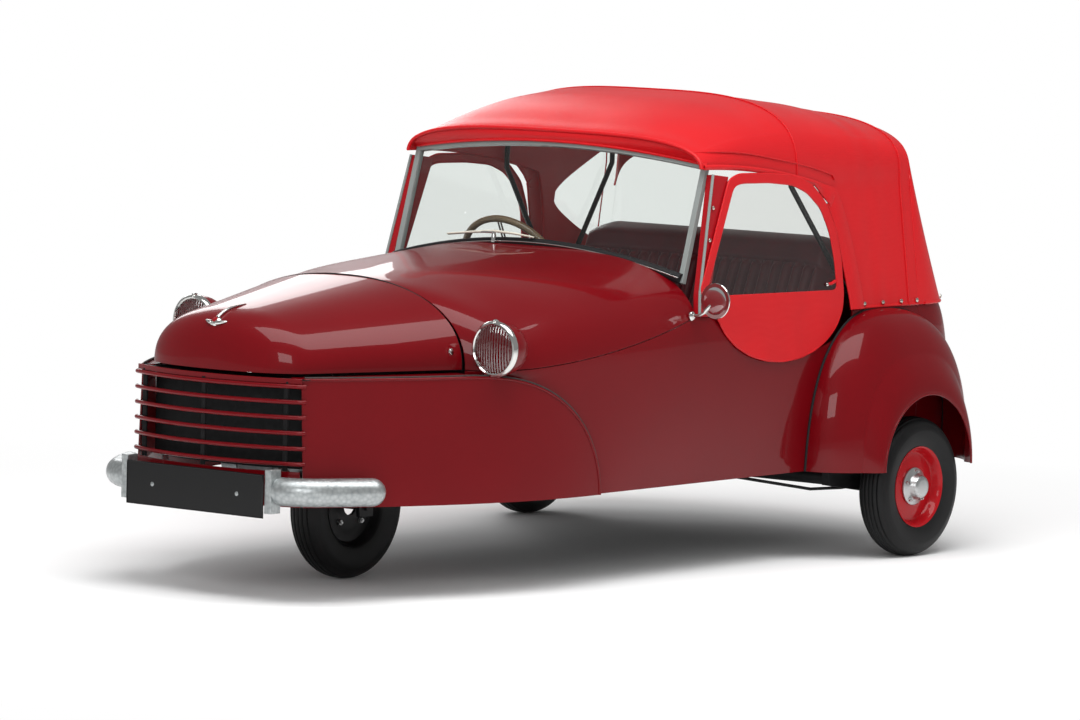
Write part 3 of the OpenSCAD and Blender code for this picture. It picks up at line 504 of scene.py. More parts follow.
def turned(name, profile, centre, axis, mat, sides=64, **more):
    """a turned piece: profile is a list of (radius, distance along the axis) in mm; it is capped
    at both ends unless it closes on itself"""
    axis = np.array(axis, float) / np.linalg.norm(axis)
    u = np.cross(axis, [0, 0, 1] if abs(axis[2]) < 0.9 else [1, 0, 0])
    u /= np.linalg.norm(u)
    v = np.cross(axis, u)
    angles = np.linspace(0, 2 * np.pi, sides, endpoint=False)
    rings = [np.array(centre) + a * axis
             + max(r, 0.05) * (np.cos(angles)[:, None] * u + np.sin(angles)[:, None] * v)
             for r, a in profile]
    faces = []
    for i in range(len(profile) - 1):
        faces += [(i * sides + k, i * sides + (k + 1) % sides, (i + 1) * sides + (k + 1) % sides,
                   (i + 1) * sides + k)
                  for k in range(sides)]
    if profile[0] != profile[-1]:
        faces.append(tuple(range(sides))[::-1])
        faces.append(tuple((len(profile) - 1) * sides + k for k in range(sides)))
    return piece(name, np.array(rings), faces, mat, **more)


def bright_metal(name, colour, roughness, brushed_mm=0.0, metallic=1.0, slot_name="chrome_trim"):
    """bare or plated metal, smeared by handling; brushed_mm gives fine scratches of that spacing"""
    mat, tree, coords = new_material(name, slot_name)
    smear = noise(tree, coords, 25.0, 5.0)
    sockets = {"Base Color": linear(colour), "Metallic": metallic,
               "Roughness": spread(tree, smear, roughness * 0.7, roughness * 1.5)}
    if brushed_mm:
        sockets["Normal"] = bumps(tree, noise(tree, coords, 1000 / brushed_mm, 3.0), 0.2, 0.4)
    finish_material(tree, "ShaderNodeBsdfPrincipled", sockets)
    return mat


chrome = bright_metal("chromium_plate", "#d9d9d6", 0.06)
for side, word in both_sides[::-1]:
    catch = np.array(bonnet_point(bonnet_end - 26, 0.055)) * [side, 1, 1]
    turned(f"bonnet_catch_{word}", [(0, 3), (6, 2.6), (9, 1), (10, -2)], catch, (side, 0, 0.25),
           chrome, 24, body="bonnet")

# The badge is a plain winged ornament with no lettering: a domed boss, two swept wings and a
# fin that runs back along the crown, cast in zinc and chromium plated.
boss_y = -545
badge_tilt = math.degrees(math.atan2(bonnet_crown(boss_y + 8) - bonnet_crown(boss_y - 8), 16))
badge_back = np.array([0, cos(badge_tilt), sin(badge_tilt)])
badge_out = np.array([0, -sin(badge_tilt), cos(badge_tilt)])
boss_at = np.array([0, boss_y, bonnet_crown(boss_y) + 1])
turned("badge_boss", [(0, 9), (7, 8.2), (12, 5.5), (15, 1.5), (15.5, -3)], boss_at, badge_out,
       chrome, 40, body="bonnet", replaces=["bonnet_ornament"])
red_glass = gloss_paint("badge_red_enamel", "#8f1018")
turned("badge_centre", [(0, 10), (5, 9.7), (8.5, 8.2)], boss_at, badge_out, red_glass, 32,
       body="bonnet")
for side, word in both_sides[::-1]:
    ts = np.linspace(0, 1, 14)
    wing = [boss_at + badge_out * (4 - 3 * t) + badge_back * (10 * t ** 1.5 - 8)
            + np.array([side * (8 + 30 * t), 0, 0]) for t in ts]
    tube(f"badge_wing_{word}", wing, [6.5 * (1 - t) ** 0.6 + 0.8 for t in ts], chrome, 12,
         body="bonnet")
ts, fin_length = np.linspace(0, 1, 24), 112
fin_ys = boss_y + 6 + fin_length * ts
fin = [[0, y, bonnet_crown(y) + 1 + 5 * (1 - t)] for y, t in zip(fin_ys, ts)]
tube("badge_fin", fin, [4.0 * (1 - t) ** 0.7 + 0.8 for t in ts], chrome, 12, body="bonnet")

# ---------------------------------------------------------------- front cowl and grille
# Two rolled wing panels closed by a ledge under the bonnet, and six bowed half-round bars in the
# body's enamel, riveted to upright straps in near-black. The near-black duct panel behind the bars
# and the tray under the bonnet's nose are painted shade for the dark inside of the nose.
def front_y(x):
    return grille_side_y - 65 * (1 - min(1, abs(x) / cowl_w(grille_side_y)) ** 2.2)


cowl_grid = []
for i in range(61):
    row = []
    for j in range(31):
        z = lerp(sill_z, cowl_top, sin(90 * j / 30))
        y = lerp(grille_side_y, arch_at(z), i / 60)
        inset = 0 if z > cowl_top - 1 else 1
        row.append([cowl_x(y, z) - inset, y, z])
    cowl_grid.append(row)
cowl_grid = np.array(cowl_grid)
shell("left_cowl_skin", cowl_grid, panel_t, body_paint, replaces=["front_cowl"])
shell("right_cowl_skin", flipped(cowl_grid), panel_t, body_paint)

ledge_grid = []
for i in range(41):
    y = lerp(grille_side_y, seam_y - 14, i / 40)
    inner_x = max(150, bonnet_w(max(y, -500)) - 14)
    outer_x = cowl_x(y, cowl_top) - 1
    ledge_grid.append([[lerp(outer_x, inner_x, j / 8), y, cowl_top + 5 * j / 8] for j in range(9)])
ledge_grid = np.array(ledge_grid)
shell("left_ledge", ledge_grid, panel_t, body_paint)
shell("right_ledge", flipped(ledge_grid), panel_t, body_paint)
# the seam between cowl and side is covered by a rolled bead that follows the arch
arch_line = []
for y in np.linspace(grille_side_y + 6, arch_start_y, 40):
    arch_line.append([cowl_x(y, cowl_top) - 1, y, cowl_top + 1])
for t in np.linspace(0, 1, 70)[1:]:
    a = 90 * (1 - t)
    z = sill_z + (cowl_top - sill_z) * spow(sin(a), 2 / 2.1)
    y = arch_start_y + (arch_y - arch_start_y) * spow(cos(a), 2 / 2.1)
    arch_line.append([cowl_x(y, z) - 1, y, z])
arch_line = np.array(arch_line)
welt_grey = black_rubber("sealing_strip", "#4a4442", 0.6)
for side, word in both_sides:
    tube(f"{word}_cowl_bead", arch_line * [side, 1, 1], 3.6, body_paint, 12)
    tube(f"{word}_cowl_seal", (arch_line + [-2.5, 4, 4.5]) * [side, 1, 1], 3.0, welt_grey, 10)

valance_x = cowl_w(grille_side_y) - 10
grille_low, grille_high = 350, 588
valance_xs = np.linspace(-valance_x, valance_x, 41)
valance = [[[x, front_y(x) + 6 * (k / 10) ** 2, lerp(grille_low - 2, sill_z, k / 10)]
            for k in range(11)] for x in valance_xs]
shell("front_valance", valance, panel_t, body_paint)
top_rail = [[[x, front_y(x) + 2, lerp(cowl_top + 4, cowl_top - 10, k / 4)] for k in range(5)]
            for x in valance_xs]
shell("grille_top_rail", top_rail, 6, body_paint)
# near-black painted shade for the dark inside of the nose, used on the tray, the duct panel and the
# straps
painted_shade_black = black_rubber("duct_painted_shade", "#030304", 0.8)
# the tray is painted shade: it closes the gap under the bonnet's front where the background showed
# through
tray_half, tray_end_y = 300, -470
tray = [[[x, lerp(front_y(x) + 3, tray_end_y, k / 8), cowl_top + 2] for k in range(9)]
        for x in np.linspace(-tray_half, tray_half, 41)]
shell("bonnet_tray", tray, 2, painted_shade_black)
# the panel behind the bars is painted shade, standing for the dark duct
duct_depth, duct_half = 62, valance_x - 12
duct = [[[x, front_y(x) + duct_depth, lerp(grille_high, grille_low, k / 6)] for k in range(7)]
        for x in np.linspace(-duct_half, duct_half, 31)]
shell("duct_panel", duct, 2, painted_shade_black)
bar_zs = [574, 533, 492, 451, 410, 369]
reach = valance_x + 3
for number, z in enumerate(bar_zs):
    bar = [[x, front_y(x) - 7, z] for x in np.linspace(-reach, reach, 61)]
    ends = [[side * (reach + 4 * k), front_y(reach) - 7 + 5 * k, z] for side in (-1, 1)
            for k in (1, 2)]
    bar = [ends[1], ends[0]] + bar + [ends[2], ends[3]]
    tube(f"grille_bar_{number + 1}", bar, 5.6, body_paint, 14,
         replaces=["grille"] if number == 0 else [])
for number, x in enumerate((-250, 0, 250)):
    strap = [[[x + dx, front_y(x) + 2, lerp(grille_high - 2, grille_low, k / 12)]
              for k in range(13)] for dx in (-7, -3, 3, 7)]
    shell(f"grille_strap_{number + 1}", strap, 6, painted_shade_black)

# ---------------------------------------------------------------- rear wings
# A separate pressed wing on each side, bolted through a rubber piping to the body.
wing_y, wing_len, wing_top, rear_wing_x, joint_x = 1665, 345, 704, 768, side_w + 1
cheek_v, arch_r = 0.5, 212


def wing_joint(y, z):
    """where the wing meets the body: on the flat side, then round the tail's corner"""
    start = corner_y + gap
    return min(joint_x,
               side_x(corner_y, z) * fall((y - start) / (tail_end(z) - start), tail_exp) + 1)


def wing_point(u, v):
    a, b = 180 * u, 90 * v
    k = abs(cos(b)) ** (2 / 2.2)
    y = wing_y - wing_len * spow(cos(a), 2 / 2.5) * k
    z = sill_z + (wing_top - sill_z) * abs(sin(a)) ** (2 / 2.5) * k
    return np.array([lerp(wing_joint(y, z), rear_wing_x, abs(sin(b)) ** (2 / 2.2)), y, z])


def cheek_point(u, v):
    a = 180 * u
    outer = wing_point(u, cheek_v)
    arch_z = max(sill_z, sill_z + 2 + arch_r * sin(a))
    return np.array([lerp(outer[0], rear_wing_x - 3, sin(90 * v)),
                     lerp(outer[1], wing_y + 3 - arch_r * cos(a), v), lerp(outer[2], arch_z, v)])


us = [0.5 - 0.5 * cos(180 * i / 96) for i in range(97)]
wing_grid = [[wing_point(u, cheek_v * (v / 32)) for u in us] for v in range(33)]
wing_grid += [[cheek_point(u, v / 18) for u in us] for v in range(1, 19)]
wing_grid = np.array(wing_grid)
shell("left_wing_skin", wing_grid, 3, body_paint, replaces=["left_rear_wing"])
shell("right_wing_skin", flipped(wing_grid), 3, body_paint, replaces=["right_rear_wing"])
piping = np.array([wing_point(u, 0) for u in us]) + [1.5, 0, 0]
lip = np.array([cheek_point(u, 1) for u in us]) - [1.5, 0, 0]
for side, word in both_sides:
    tube(f"{word}_wing_piping", piping * [side, 1, 1], 4.0, rubber, 12)
    tube(f"{word}_wing_lip", lip * [side, 1, 1], 3.2, body_paint, 12)

# ---------------------------------------------------------------- headlamps
# A painted bowl on each side of the scuttle with a chromium rim, a clip at its top and a
# clear domed glass moulded with upright flutes. A polished reflector sits inside.
lamp_x, lamp_y, lamp_z, lamp_r, bowl_depth, backward = 538, -34, 666, 76, 96, (0, 1, 0)


def clear_glass(name, slot_name, tint="#f4f8f6", roughness=0.02, shine=0.035, flute_mm=0.0):
    """glass as a clear front that also lets straight rays through, so it stays bright"""
    mat, tree, coords = new_material(name, slot_name)
    see = add(tree, "ShaderNodeBsdfTransparent", {"Color": linear(tint)})
    sockets = {"Color": linear("#ffffff"), "Roughness": roughness}
    if flute_mm:
        split = add(tree, "ShaderNodeSeparateXYZ", {"Vector": coords})
        across = maths(tree, "MULTIPLY", split.outputs[0], 2 * math.pi * 1000 / flute_mm)
        wave = add(tree, "ShaderNodeMath", {0: across}, operation="SINE")
        sockets["Normal"] = bumps(tree, wave.outputs[0], 0.8, 1.2)
    sheen = add(tree, "ShaderNodeBsdfGlossy", sockets)
    facing = add(tree, "ShaderNodeLayerWeight", {"Blend": 0.5}).outputs["Facing"]
    edge = spread(tree, maths(tree, "POWER", facing, 4.0), shine, 0.7)
    finish_material(tree, "ShaderNodeMixShader", {0: edge, 1: see.outputs[0], 2: sheen.outputs[0]})
    return mat


lamp_glass = clear_glass("lamp_glass", "lamp_glass", "#dfe6e4", 0.05, 0.16, 9.0)
bowl = [(lamp_r - 5, -1)] + [((lamp_r - 3.4) * fall(i / 24.3, 2.4), 6 + (bowl_depth - 7) * i / 24)
                             for i in range(25)]
rim_profile = [(lamp_r - 11, -7), (lamp_r - 8, -9.5), (lamp_r - 4, -9), (lamp_r - 0.6, -5),
               (lamp_r, 1), (lamp_r - 1, 8), (lamp_r - 4, 11), (lamp_r - 7, 10), (lamp_r - 11, 0),
               (lamp_r - 11, -7)]
dome = [(0, -9.6), (25, -9.0), (45, -7.2), (58, -4.6), (lamp_r - 10, -1.2), (lamp_r - 10, 2)]
reflector = [(lamp_r - 11, 2), (58, 14), (45, 28), (28, 40), (12, 46), (0, 47)]
bulb = [(0, 12), (6, 14), (9, 20), (8, 30), (5, 40)]
clip = np.array([[0, -9, lamp_r - 6], [0, -8, lamp_r + 0.5], [0, 2, lamp_r + 1.6],
                 [0, 11, lamp_r - 2]])
for side, word in both_sides:
    lamp = (side * lamp_x, lamp_y, lamp_z)
    turned(f"{word}_lamp_bowl", bowl, lamp, backward, body_paint, 72,
           replaces=["headlamps"] if side > 0 else [])
    turned(f"{word}_lamp_rim", rim_profile, lamp, backward, chrome, 96)
    turned(f"{word}_lamp_glass", dome, lamp, backward, lamp_glass, 72,
           replaces=["headlamp_glasses"] if side > 0 else [])
    silvering = bright_metal(f"{word}_silvering", "#f2f2ee", 0.12)
    turned(f"{word}_reflector", reflector, lamp, backward, silvering, 64)
    turned(f"{word}_bulb", bulb, lamp, backward, lamp_glass, 24)
    tube(f"{word}_lamp_clip", clip + lamp, 3.2, chrome, 12)

# ---------------------------------------------------------------- tail lamps
# Small round lamps on the tail: a chromium bezel and a moulded red lens.
lens_red, tree, coords = new_material("red_lens", "red_lens")
rings = add(tree, "ShaderNodeTexWave", {"Vector": coords, "Scale": 60.0}, wave_type="RINGS")
finish_material(tree, "ShaderNodeBsdfPrincipled", {
    "Base Color": linear("#b00a12"), "Roughness": 0.12, "Transmission Weight": 0.25,
    "Normal": bumps(tree, rings.outputs["Fac"], 0.4, 1.0)})
gap_tail = corner_y + gap


def tail_surface_y(x, z):
    return gap_tail + (tail_end(z) - gap_tail) * fall(x / side_x(corner_y, z), tail_exp)


lamp_at_x, lamp_at_z, step = 400, 520, 5
at = np.array([lamp_at_x, tail_surface_y(lamp_at_x, lamp_at_z), lamp_at_z])
rise = np.diff([tail_surface_y(lamp_at_x, lamp_at_z + d) for d in (-step, step)])[0]
bend = np.diff([tail_surface_y(lamp_at_x + d, lamp_at_z) for d in (-step, step)])[0]
out = np.cross([0, rise, 2 * step], [2 * step, bend, 0])
out = out / np.linalg.norm(out)
for side, word in both_sides:
    flip = np.array([side, 1, 1])
    turned(f"{word}_tail_bezel", [(31, 0.4), (31, 8), (29, 12), (26, 12.4), (25, 9)], at * flip,
           out * flip, chrome, 48, replaces=["tail_lamps"] if side > 0 else [])
    turned(f"{word}_tail_lens", [(27, 6), (26.5, 12), (25, 18), (22, 23), (14, 25.4), (0, 26)],
           at * flip, out * flip, lens_red, 48)

# ---------------------------------------------------------------- windscreen
# Curved clear acrylic held in a grey-enamelled frame, on a thick black rubber with a bright
# insert along the scuttle. Painted posts run up to the hood on each side.
glass_t, glass_bow, foot_drop, top_drop, screen_h, screen_lean = 5, 40, 67, 39, 292, 16.5
pillar_z = 716


def screen_low(x):
    return screen_z - foot_drop * (x / screen_hw) ** 2


def screen_top(x):
    return screen_z + screen_h * cos(screen_lean) - top_drop * (x / screen_hw) ** 2


def screen_at(x, z):
    bow = glass_bow * (x / screen_hw) ** 2
    return foot_y + (z - screen_z) * math.tan(math.radians(screen_lean)) + bow


def screen_grid(half, low, high, forward, rows=10, cols=60):
    """a curved sheet from the height low(x) to high(x), set forward of the screen's own line"""
    grid = []
    for i in range(cols + 1):
        x = lerp(-half, half, i / cols)
        zs = [lerp(low(x), high(x), j / rows) for j in range(rows + 1)]
        grid.append([[x, screen_at(x, z) - forward, z] for z in zs])
    return np.array(grid)


screen_glass = clear_glass("windscreen_acrylic", "clear_glass", "#f9fbfa", 0.03, 0.03)
frame_grey = gloss_paint("grey_frame_enamel", "#8b918f", 5.0, "frame_metal")
shell("windscreen_pane", screen_grid(screen_hw, screen_low, screen_top, glass_t / 2), glass_t,
      screen_glass, replaces=["windscreen_glass"])
rail_grid = screen_grid(screen_hw + 8, lambda x: screen_top(x) - 5,
                        lambda x: screen_top(x) + 26, 9, 5)
shell("screen_top_rail", rail_grid, 17, frame_grey, replaces=["windscreen_frame"])
zs = np.linspace(screen_low(screen_hw) - 10, screen_top(screen_hw) + 12, 24)
for side, word in both_sides:
    jamb = [[[side * x, screen_at(screen_hw, z) - 9, z] for z in zs]
            for x in (screen_hw - 5, screen_hw + 3, screen_hw + 12)]
    shell(f"{word}_screen_jamb", jamb if side > 0 else jamb[::-1], 18, frame_grey)
base = np.array([[x, screen_at(x, screen_low(x)) - 2, screen_low(x) - 3]
                 for x in np.linspace(-screen_hw - 6, screen_hw + 6, 90)])
tube("screen_base_rubber", base - [0, 8, -5], 15, rubber, 20)
tube("screen_base_insert", base + [0, -22.5, 9], 2.0, chrome, 10)
red_coat = gloss_paint("red_post_enamel", "#a5131c", 6.0)
studs = bright_metal("nickel_studs", "#c9c6bd", 0.2)
front = np.array([[583.5, 802, pillar_z + 1.8], [572.5, 815, 778], [545, 897, 1106]])
rear = np.array([[583.5, 852, pillar_z - 0.5], [572.5, 864, 778], [545, 970, 1098]])
front_row, rear_row = [np.array([lerp(foot, knee, t) for t in np.linspace(0, 1, 6)]
                                + [lerp(knee, top, t) for t in np.linspace(0, 1, 24)[1:]])
                       for foot, knee, top in (front, rear)]
post = np.array([lerp(front_row, rear_row, t) for t in np.linspace(0, 1, 8)])
for side, word in both_sides:
    shell(f"{word}_screen_post", post if side > 0 else flipped(post), 22, red_coat)
    channel = (front_row + [1.5, -1, 0]) * [side, 1, 1]
    tube(f"{word}_post_channel", channel, 4.2, frame_grey, 12)
    for number, t in enumerate((0.18, 0.45, 0.72)):
        at = front[1] * (1 - t) + front[2] * t + [3, 16, 0]
        turned(f"{word}_post_stud_{number + 1}", [(0, 3.4), (3.5, 2.8), (5.5, 1), (5.5, -2)],
               at * [side, 1, 1], (side, 0, 0.1), studs, 20)

# ---------------------------------------------------------------- wiper
# One short arm and blade on a spindle in front of the screen: cream-painted steel, rubber edge.
cream = gloss_paint("cream_enamel", "#d9d5c6", 5.0, "chrome_trim")
blade = np.array([[-300, 770, 896], [-210, 763, 906], [-120, 760, 914], [-50, 762, 911],
                  [20, 766, 904]])
tube("wiper_blade", blade + [0, -1, 1], [2.2, 3.4, 4, 3.4, 2.2], cream, 12, replaces=["wiper"])
tube("wiper_rubber", blade + [0, 4, -1], 2.0, rubber, 8)
turned("wiper_spindle", [(7, 0), (7, 18), (5.5, 24), (4, 30), (0, 31)], (-120, 758, 884), (0, 0, 1),
       chrome, 28)
tube("wiper_arm", [[-120, 757, 911], [-150, 757, 911], [-168, 760, 910]], 3.2, chrome, 12)

# ---------------------------------------------------------------- mirror
# A round convex glass in a chromium dish on a bent arm, screwed to the left side only.
mirror_at = np.array([650, 784, 766])
dish = [(48.5, -0.5), (50, 1.5), (49.5, 4), (44, 12), (30, 18), (15, 20.5), (0, 21)]
turned("mirror_shell", dish, mirror_at, backward, chrome, 64, replaces=["mirror"])
turned("mirror_lens", [(0, -1.6), (25, -1.2), (44, -0.2), (46.5, 0.8)], mirror_at, backward,
       bright_metal("mirror_silver", "#eef0f0", 0.02), 64)
base_x = side_x(776, 707)
arm = [[base_x + 2, 776, 722], [600, 778, 723], [615, 780, 731], [626, 782, 744], [638, 789, 758],
       [650, 800, 766]]
tube("mirror_arm", arm, 4.5, chrome, 14)
turned("mirror_foot", [(13, 0), (13, 4), (9, 8), (5, 9)], (base_x - 1, 776, 720), (1, 0, 0), chrome,
       32)

# ---------------------------------------------------------------- bumper and number plates
# Two short galvanised tubes with spun ends on flat brackets, and a plain black plate between
# them; the plates are blank pressed aluminium with two screws.
bumper_z, plate_half, plate_h, plate_y = 299, 243, 116, -620
zinc, tree, coords = new_material("galvanised_steel", "galvanised")
spangle = add(tree, "ShaderNodeTexVoronoi", {"Vector": coords, "Scale": 90.0}).outputs
finish_material(tree, "ShaderNodeBsdfPrincipled", {
    "Base Color": blend(tree, spangle["Distance"], "#b9bdbd", "#8f9495"),
    "Metallic": 0.75, "Roughness": spread(tree, spangle["Color"], 0.28, 0.46)})
knots = np.array([[262, -578], [285, -577], [318, -562], [347, -536], [400, -461], [432, -402]],
                 float)
run = np.concatenate([[0], np.cumsum(np.linalg.norm(np.diff(knots, axis=0), axis=1))])
smooth = np.linspace(0, run[-1], 60)
line = np.stack([np.interp(smooth, run, knots[:, 0]), np.interp(smooth, run, knots[:, 1])], 1)
for _ in range(30):
    line[1:-1] = (line[:-2] + 2 * line[1:-1] + line[2:]) / 4
bumper_r = 37.5
for side, word in both_sides:
    tip = line[-1] - line[-2]
    tip = tip / np.linalg.norm(tip)
    path = [[x * side, y, bumper_z] for x, y in line]
    radii = [bumper_r] * len(path)
    for k in range(1, 13):
        point = line[-1] + tip * bumper_r * 0.98 * sin(90 * k / 12)
        path.append([point[0] * side, point[1], bumper_z])
        radii.append(max(0.6, bumper_r * cos(90 * k / 12)))
    tube(f"{word}_bumper_tube", path, radii, zinc, 40,
         replaces=["front_bumper"] if side > 0 else [])
    flat = [[[side * (plate_half + 0.8), y, z]
             for z in np.linspace(bumper_z - plate_h / 2, bumper_z + plate_h / 2, 8)]
            for y in np.linspace(plate_y + 4, -576, 6)]
    shell(f"{word}_bumper_flange", flat if side < 0 else flat[::-1], 22, zinc)


def blank_plate(name, y, z0, facing, replaced):
    grid = [[[x, y, z] for z in np.linspace(z0, z0 + plate_h, 7)]
            for x in np.linspace(-plate_half, plate_half, 9)]
    shell(name, grid if facing > 0 else grid[::-1], 3, black_enamel, replaces=[replaced])
    for side in (-1, 1):
        turned(f"{name}_screw_{'l' if side > 0 else 'r'}", [(0, 2.2), (4, 1.8), (6, 0.4), (6, -1)],
               (side * 150, y, z0 + plate_h / 2), (0, -facing, 0), zinc, 20)
    end, foot, top = plate_half - 2, z0 + 2, z0 + plate_h - 2
    edge = [[-end, y, foot], [end, y, foot], [end, y, top], [-end, y, top]]
    loop = []
    for k in range(4):
        a, b = np.array(edge[k], float), np.array(edge[(k + 1) % 4], float)
        loop += [a + (b - a) * t for t in np.linspace(0, 1, 12)[:-1]]
    tube(f"{name}_bead", loop, 1.6, black_enamel, 8, closed=True)


black_enamel = gloss_paint("black_plate_enamel", "#0d0d0e", 6.0, "plate_black")
blank_plate("front_plate_blank", plate_y, 228, 1, "front_number_plate")
rear_y = tail_surface_y(0, 470) + 0.3 + 3
blank_plate("rear_plate_blank", rear_y, 470, -1, "rear_number_plate")

# ---------------------------------------------------------------- hood
# A folding top of bright red coated cloth stretched over two steel bows, sewn from a roof
# panel and two quarters, hemmed and held to the body by studs. A clear sheet is stitched in
# across the back and round the right-hand corner to a point.
hood_front_y, bow_y, hem_z, hood_exp, hood_t, roof_z = 862, 1850, 705, 3.3, 6, 1313
hem_x = side_x(corner_y, hem_z) + hood_t + gap
crest_y, knee_a, tip_y, tip_z = 1270, 25, 1560, 965
stick_ys, low_front_z, low_rear_z, low_end_y = (1300, 1800), 1122, 1042, 1471


def hood_x(z):
    return hem_x - 0.13 * (z - hem_z)


def shoulder_z(y):
    return lerp(1095, 1060, clamp01((y - hood_front_y) / 340))


def roof_at(y):
    if y < crest_y:
        return roof_z - 108 * ((crest_y - y) / (crest_y - hood_front_y)) ** 2
    return roof_z - 73 * ((y - crest_y) / (bow_y - crest_y)) ** 1.7


def knee_z(y):
    return shoulder_z(y) + (roof_at(y) - shoulder_z(y)) * sin(knee_a) ** (2 / hood_exp)


def wall_x(y, z):
    s = shoulder_z(y)
    return hood_x(z) if z <= s else hood_x(s) * fall((z - s) / (roof_at(y) - s), hood_exp)


def hood_low(y):
    if y < low_end_y:
        run = (y - hood_front_y) / (low_end_y - hood_front_y)
        return lerp(low_front_z, low_rear_z, run ** 2)
    if y < tip_y:
        return lerp(hem_z, low_rear_z, fall((y - low_end_y) / (tip_y - low_end_y + 1), 1.3))
    return hem_z


def pane_k(y):
    return clamp01((y - tip_y) / (bow_y - tip_y)) ** 0.75


def pane_lo(y):
    return lerp(tip_z - 14, 800, pane_k(y))


def pane_hi(y):
    return lerp(tip_z + 14, 1130, pane_k(y))


def row_shares(y):
    q = max(y, tip_y)
    h = knee_z(q) - hem_z
    return (pane_lo(q) - hem_z) / h, (pane_hi(q) - hem_z) / h


def bell(distance, spread_mm):
    return math.exp(-(distance / spread_mm) ** 2)


def sag(y, z):
    """how far the cloth sinks between the bows and creases where it is pulled, in mm"""
    tight = max(bell(y - stick_ys[0], 60), bell(y - stick_ys[1], 55), bell(y - 875, 30))
    crease = 1.6 * math.sin(y / 23 + z / 31) * bell(z - 1020, 120)
    fold = 2.2 * math.sin(y / 17 + 0.6 * math.sin(z / 90)) * bell(y - 1640, 90)
    pull = 1.6 * math.sin((y - 1500) / 9.5) * bell(z - hem_z, 90)
    return (7.0 + crease + fold) * (1 - tight) + pull


low_rows, mid_rows, high_rows, over_rows = 14, 12, 8, 56
shares = [("low", k / low_rows) for k in range(low_rows)]
shares += [("mid", k / mid_rows) for k in range(mid_rows)]
shares += [("high", k / high_rows) for k in range(high_rows + 1)]


def hood_section(y, inset):
    """the hood's points across the car at y: up the left quarter, over the roof and down"""
    a, b = row_shares(y)
    wall = []
    for kind, k in shares:
        f = {"low": k * a, "mid": lerp(a, b, k), "high": lerp(b, 1, k)}[kind]
        z = lerp(hood_low(y), knee_z(y), f)
        wall.append((y, z))
    s = shoulder_z(y)
    h = roof_at(y) - s
    left = [[wall_x(y, z) - inset - 0.25 * sag(y, z), y, z] for y, z in wall]
    half, rise = hood_x(s) - inset, h - inset - sag(y, 1150) * 0.8
    over = []
    for j in range(1, over_rows):
        q = lerp(knee_a, 180 - knee_a, j / over_rows)
        over.append([half * spow(cos(q), 2 / hood_exp), y, s + rise * sin(q) ** (2 / hood_exp)])
    right = [[-(wall_x(y, z) - inset - 0.25 * sag(y, z + 37)), y, z] for y, z in wall[::-1]]
    return left + over + right


front_part = np.linspace(hood_front_y, low_end_y, 50)
quarter_part = np.linspace(low_end_y + 3, tip_y, 24)
hood_ys = [*front_part, *quarter_part, *np.linspace(tip_y + 6, bow_y, 40)]
tip_row = len(front_part) + len(quarter_part) - 1
rows_count = 2 * len(shares) + over_rows - 1
top_pane = (rows_count - 1 - (low_rows + mid_rows), rows_count - 1 - low_rows)

cloth_red, tree, coords = new_material("red_coated_cloth", "hood_cloth")
weather = noise(tree, coords, 5.0, 6.0)
weave = add(tree, "ShaderNodeTexWave", {"Vector": coords, "Scale": 160.0, "Distortion": 2.0})
grain = maths(tree, "ADD", weave.outputs["Fac"], noise(tree, coords, 420.0, 3.0))
finish_material(tree, "ShaderNodeBsdfPrincipled", {
    "Base Color": blend(tree, weather, "#cc1219", "#b80f17"), "Specular IOR Level": 0.3,
    "Roughness": spread(tree, weather, 0.27, 0.4), "Normal": bumps(tree, grain, 0.22, 0.6)})
outer = np.array([hood_section(y, 0) for y in hood_ys])
inner = np.array([hood_section(y, hood_t) for y in hood_ys])


def in_side_pane(i, j):
    return i >= tip_row and top_pane[0] <= j < top_pane[1]


hood_top = shell("hood_cloth", outer, hood_t, cloth_red, inner=inner, replaces=["hood"],
                 skip=in_side_pane)


def back_low(a, inset):
    depth = tail_end(hem_z) - corner_y + hood_t
    return np.array([(hem_x - inset) * spow(cos(a), 2 / tail_exp),
                     bow_y + gap + (depth - inset) * abs(sin(a)) ** (2 / tail_exp), hem_z])


def back_top(a, inset):
    s = shoulder_z(bow_y)
    h = roof_at(bow_y) - s
    return np.array([(hood_x(s) - inset) * spow(cos(a), 2 / hood_exp), bow_y + gap,
                     s + (h - inset - 2) * abs(sin(a)) ** (2 / hood_exp)])


def back_point(t, v, inset):
    """t runs round the back from left to right, v from the hem to the rear bow"""
    a = 180 * t
    hollow = 3.0 * sin(180 * v) * sin(a) * (0.4 + 0.6 * abs(math.sin(t * 37)) ** 0.5)
    return lerp(back_low(a, inset), back_top(a, inset), v) - np.array([0, hollow, 0])


back_cols, back_rows, pane_from, pane_rows = 96, 50, 16, (9, 40)
back_outer, back_inner = [
    np.array([[back_point(i / back_cols, j / back_rows, inset) for j in range(back_rows + 1)]
              for i in range(back_cols + 1)]) for inset in (0, hood_t)]


def in_back_pane(i, j):
    return i >= pane_from and pane_rows[0] <= j < pane_rows[1]


hood_back = shell("hood_back", back_outer, hood_t, cloth_red, inner=back_inner, skip=in_back_pane)


# the flat size of the two panels as cut comes from the arcs over the bows and round the back
def cloth_area(grid, skip):
    p = np.array(grid) / 1000
    total = 0.0
    for i in range(len(p) - 1):
        for j in range(len(p[0]) - 1):
            if not skip(i, j):
                diagonals = p[i + 1, j + 1] - p[i, j], p[i, j + 1] - p[i + 1, j]
                total += np.linalg.norm(np.cross(*diagonals)) / 2
    return total


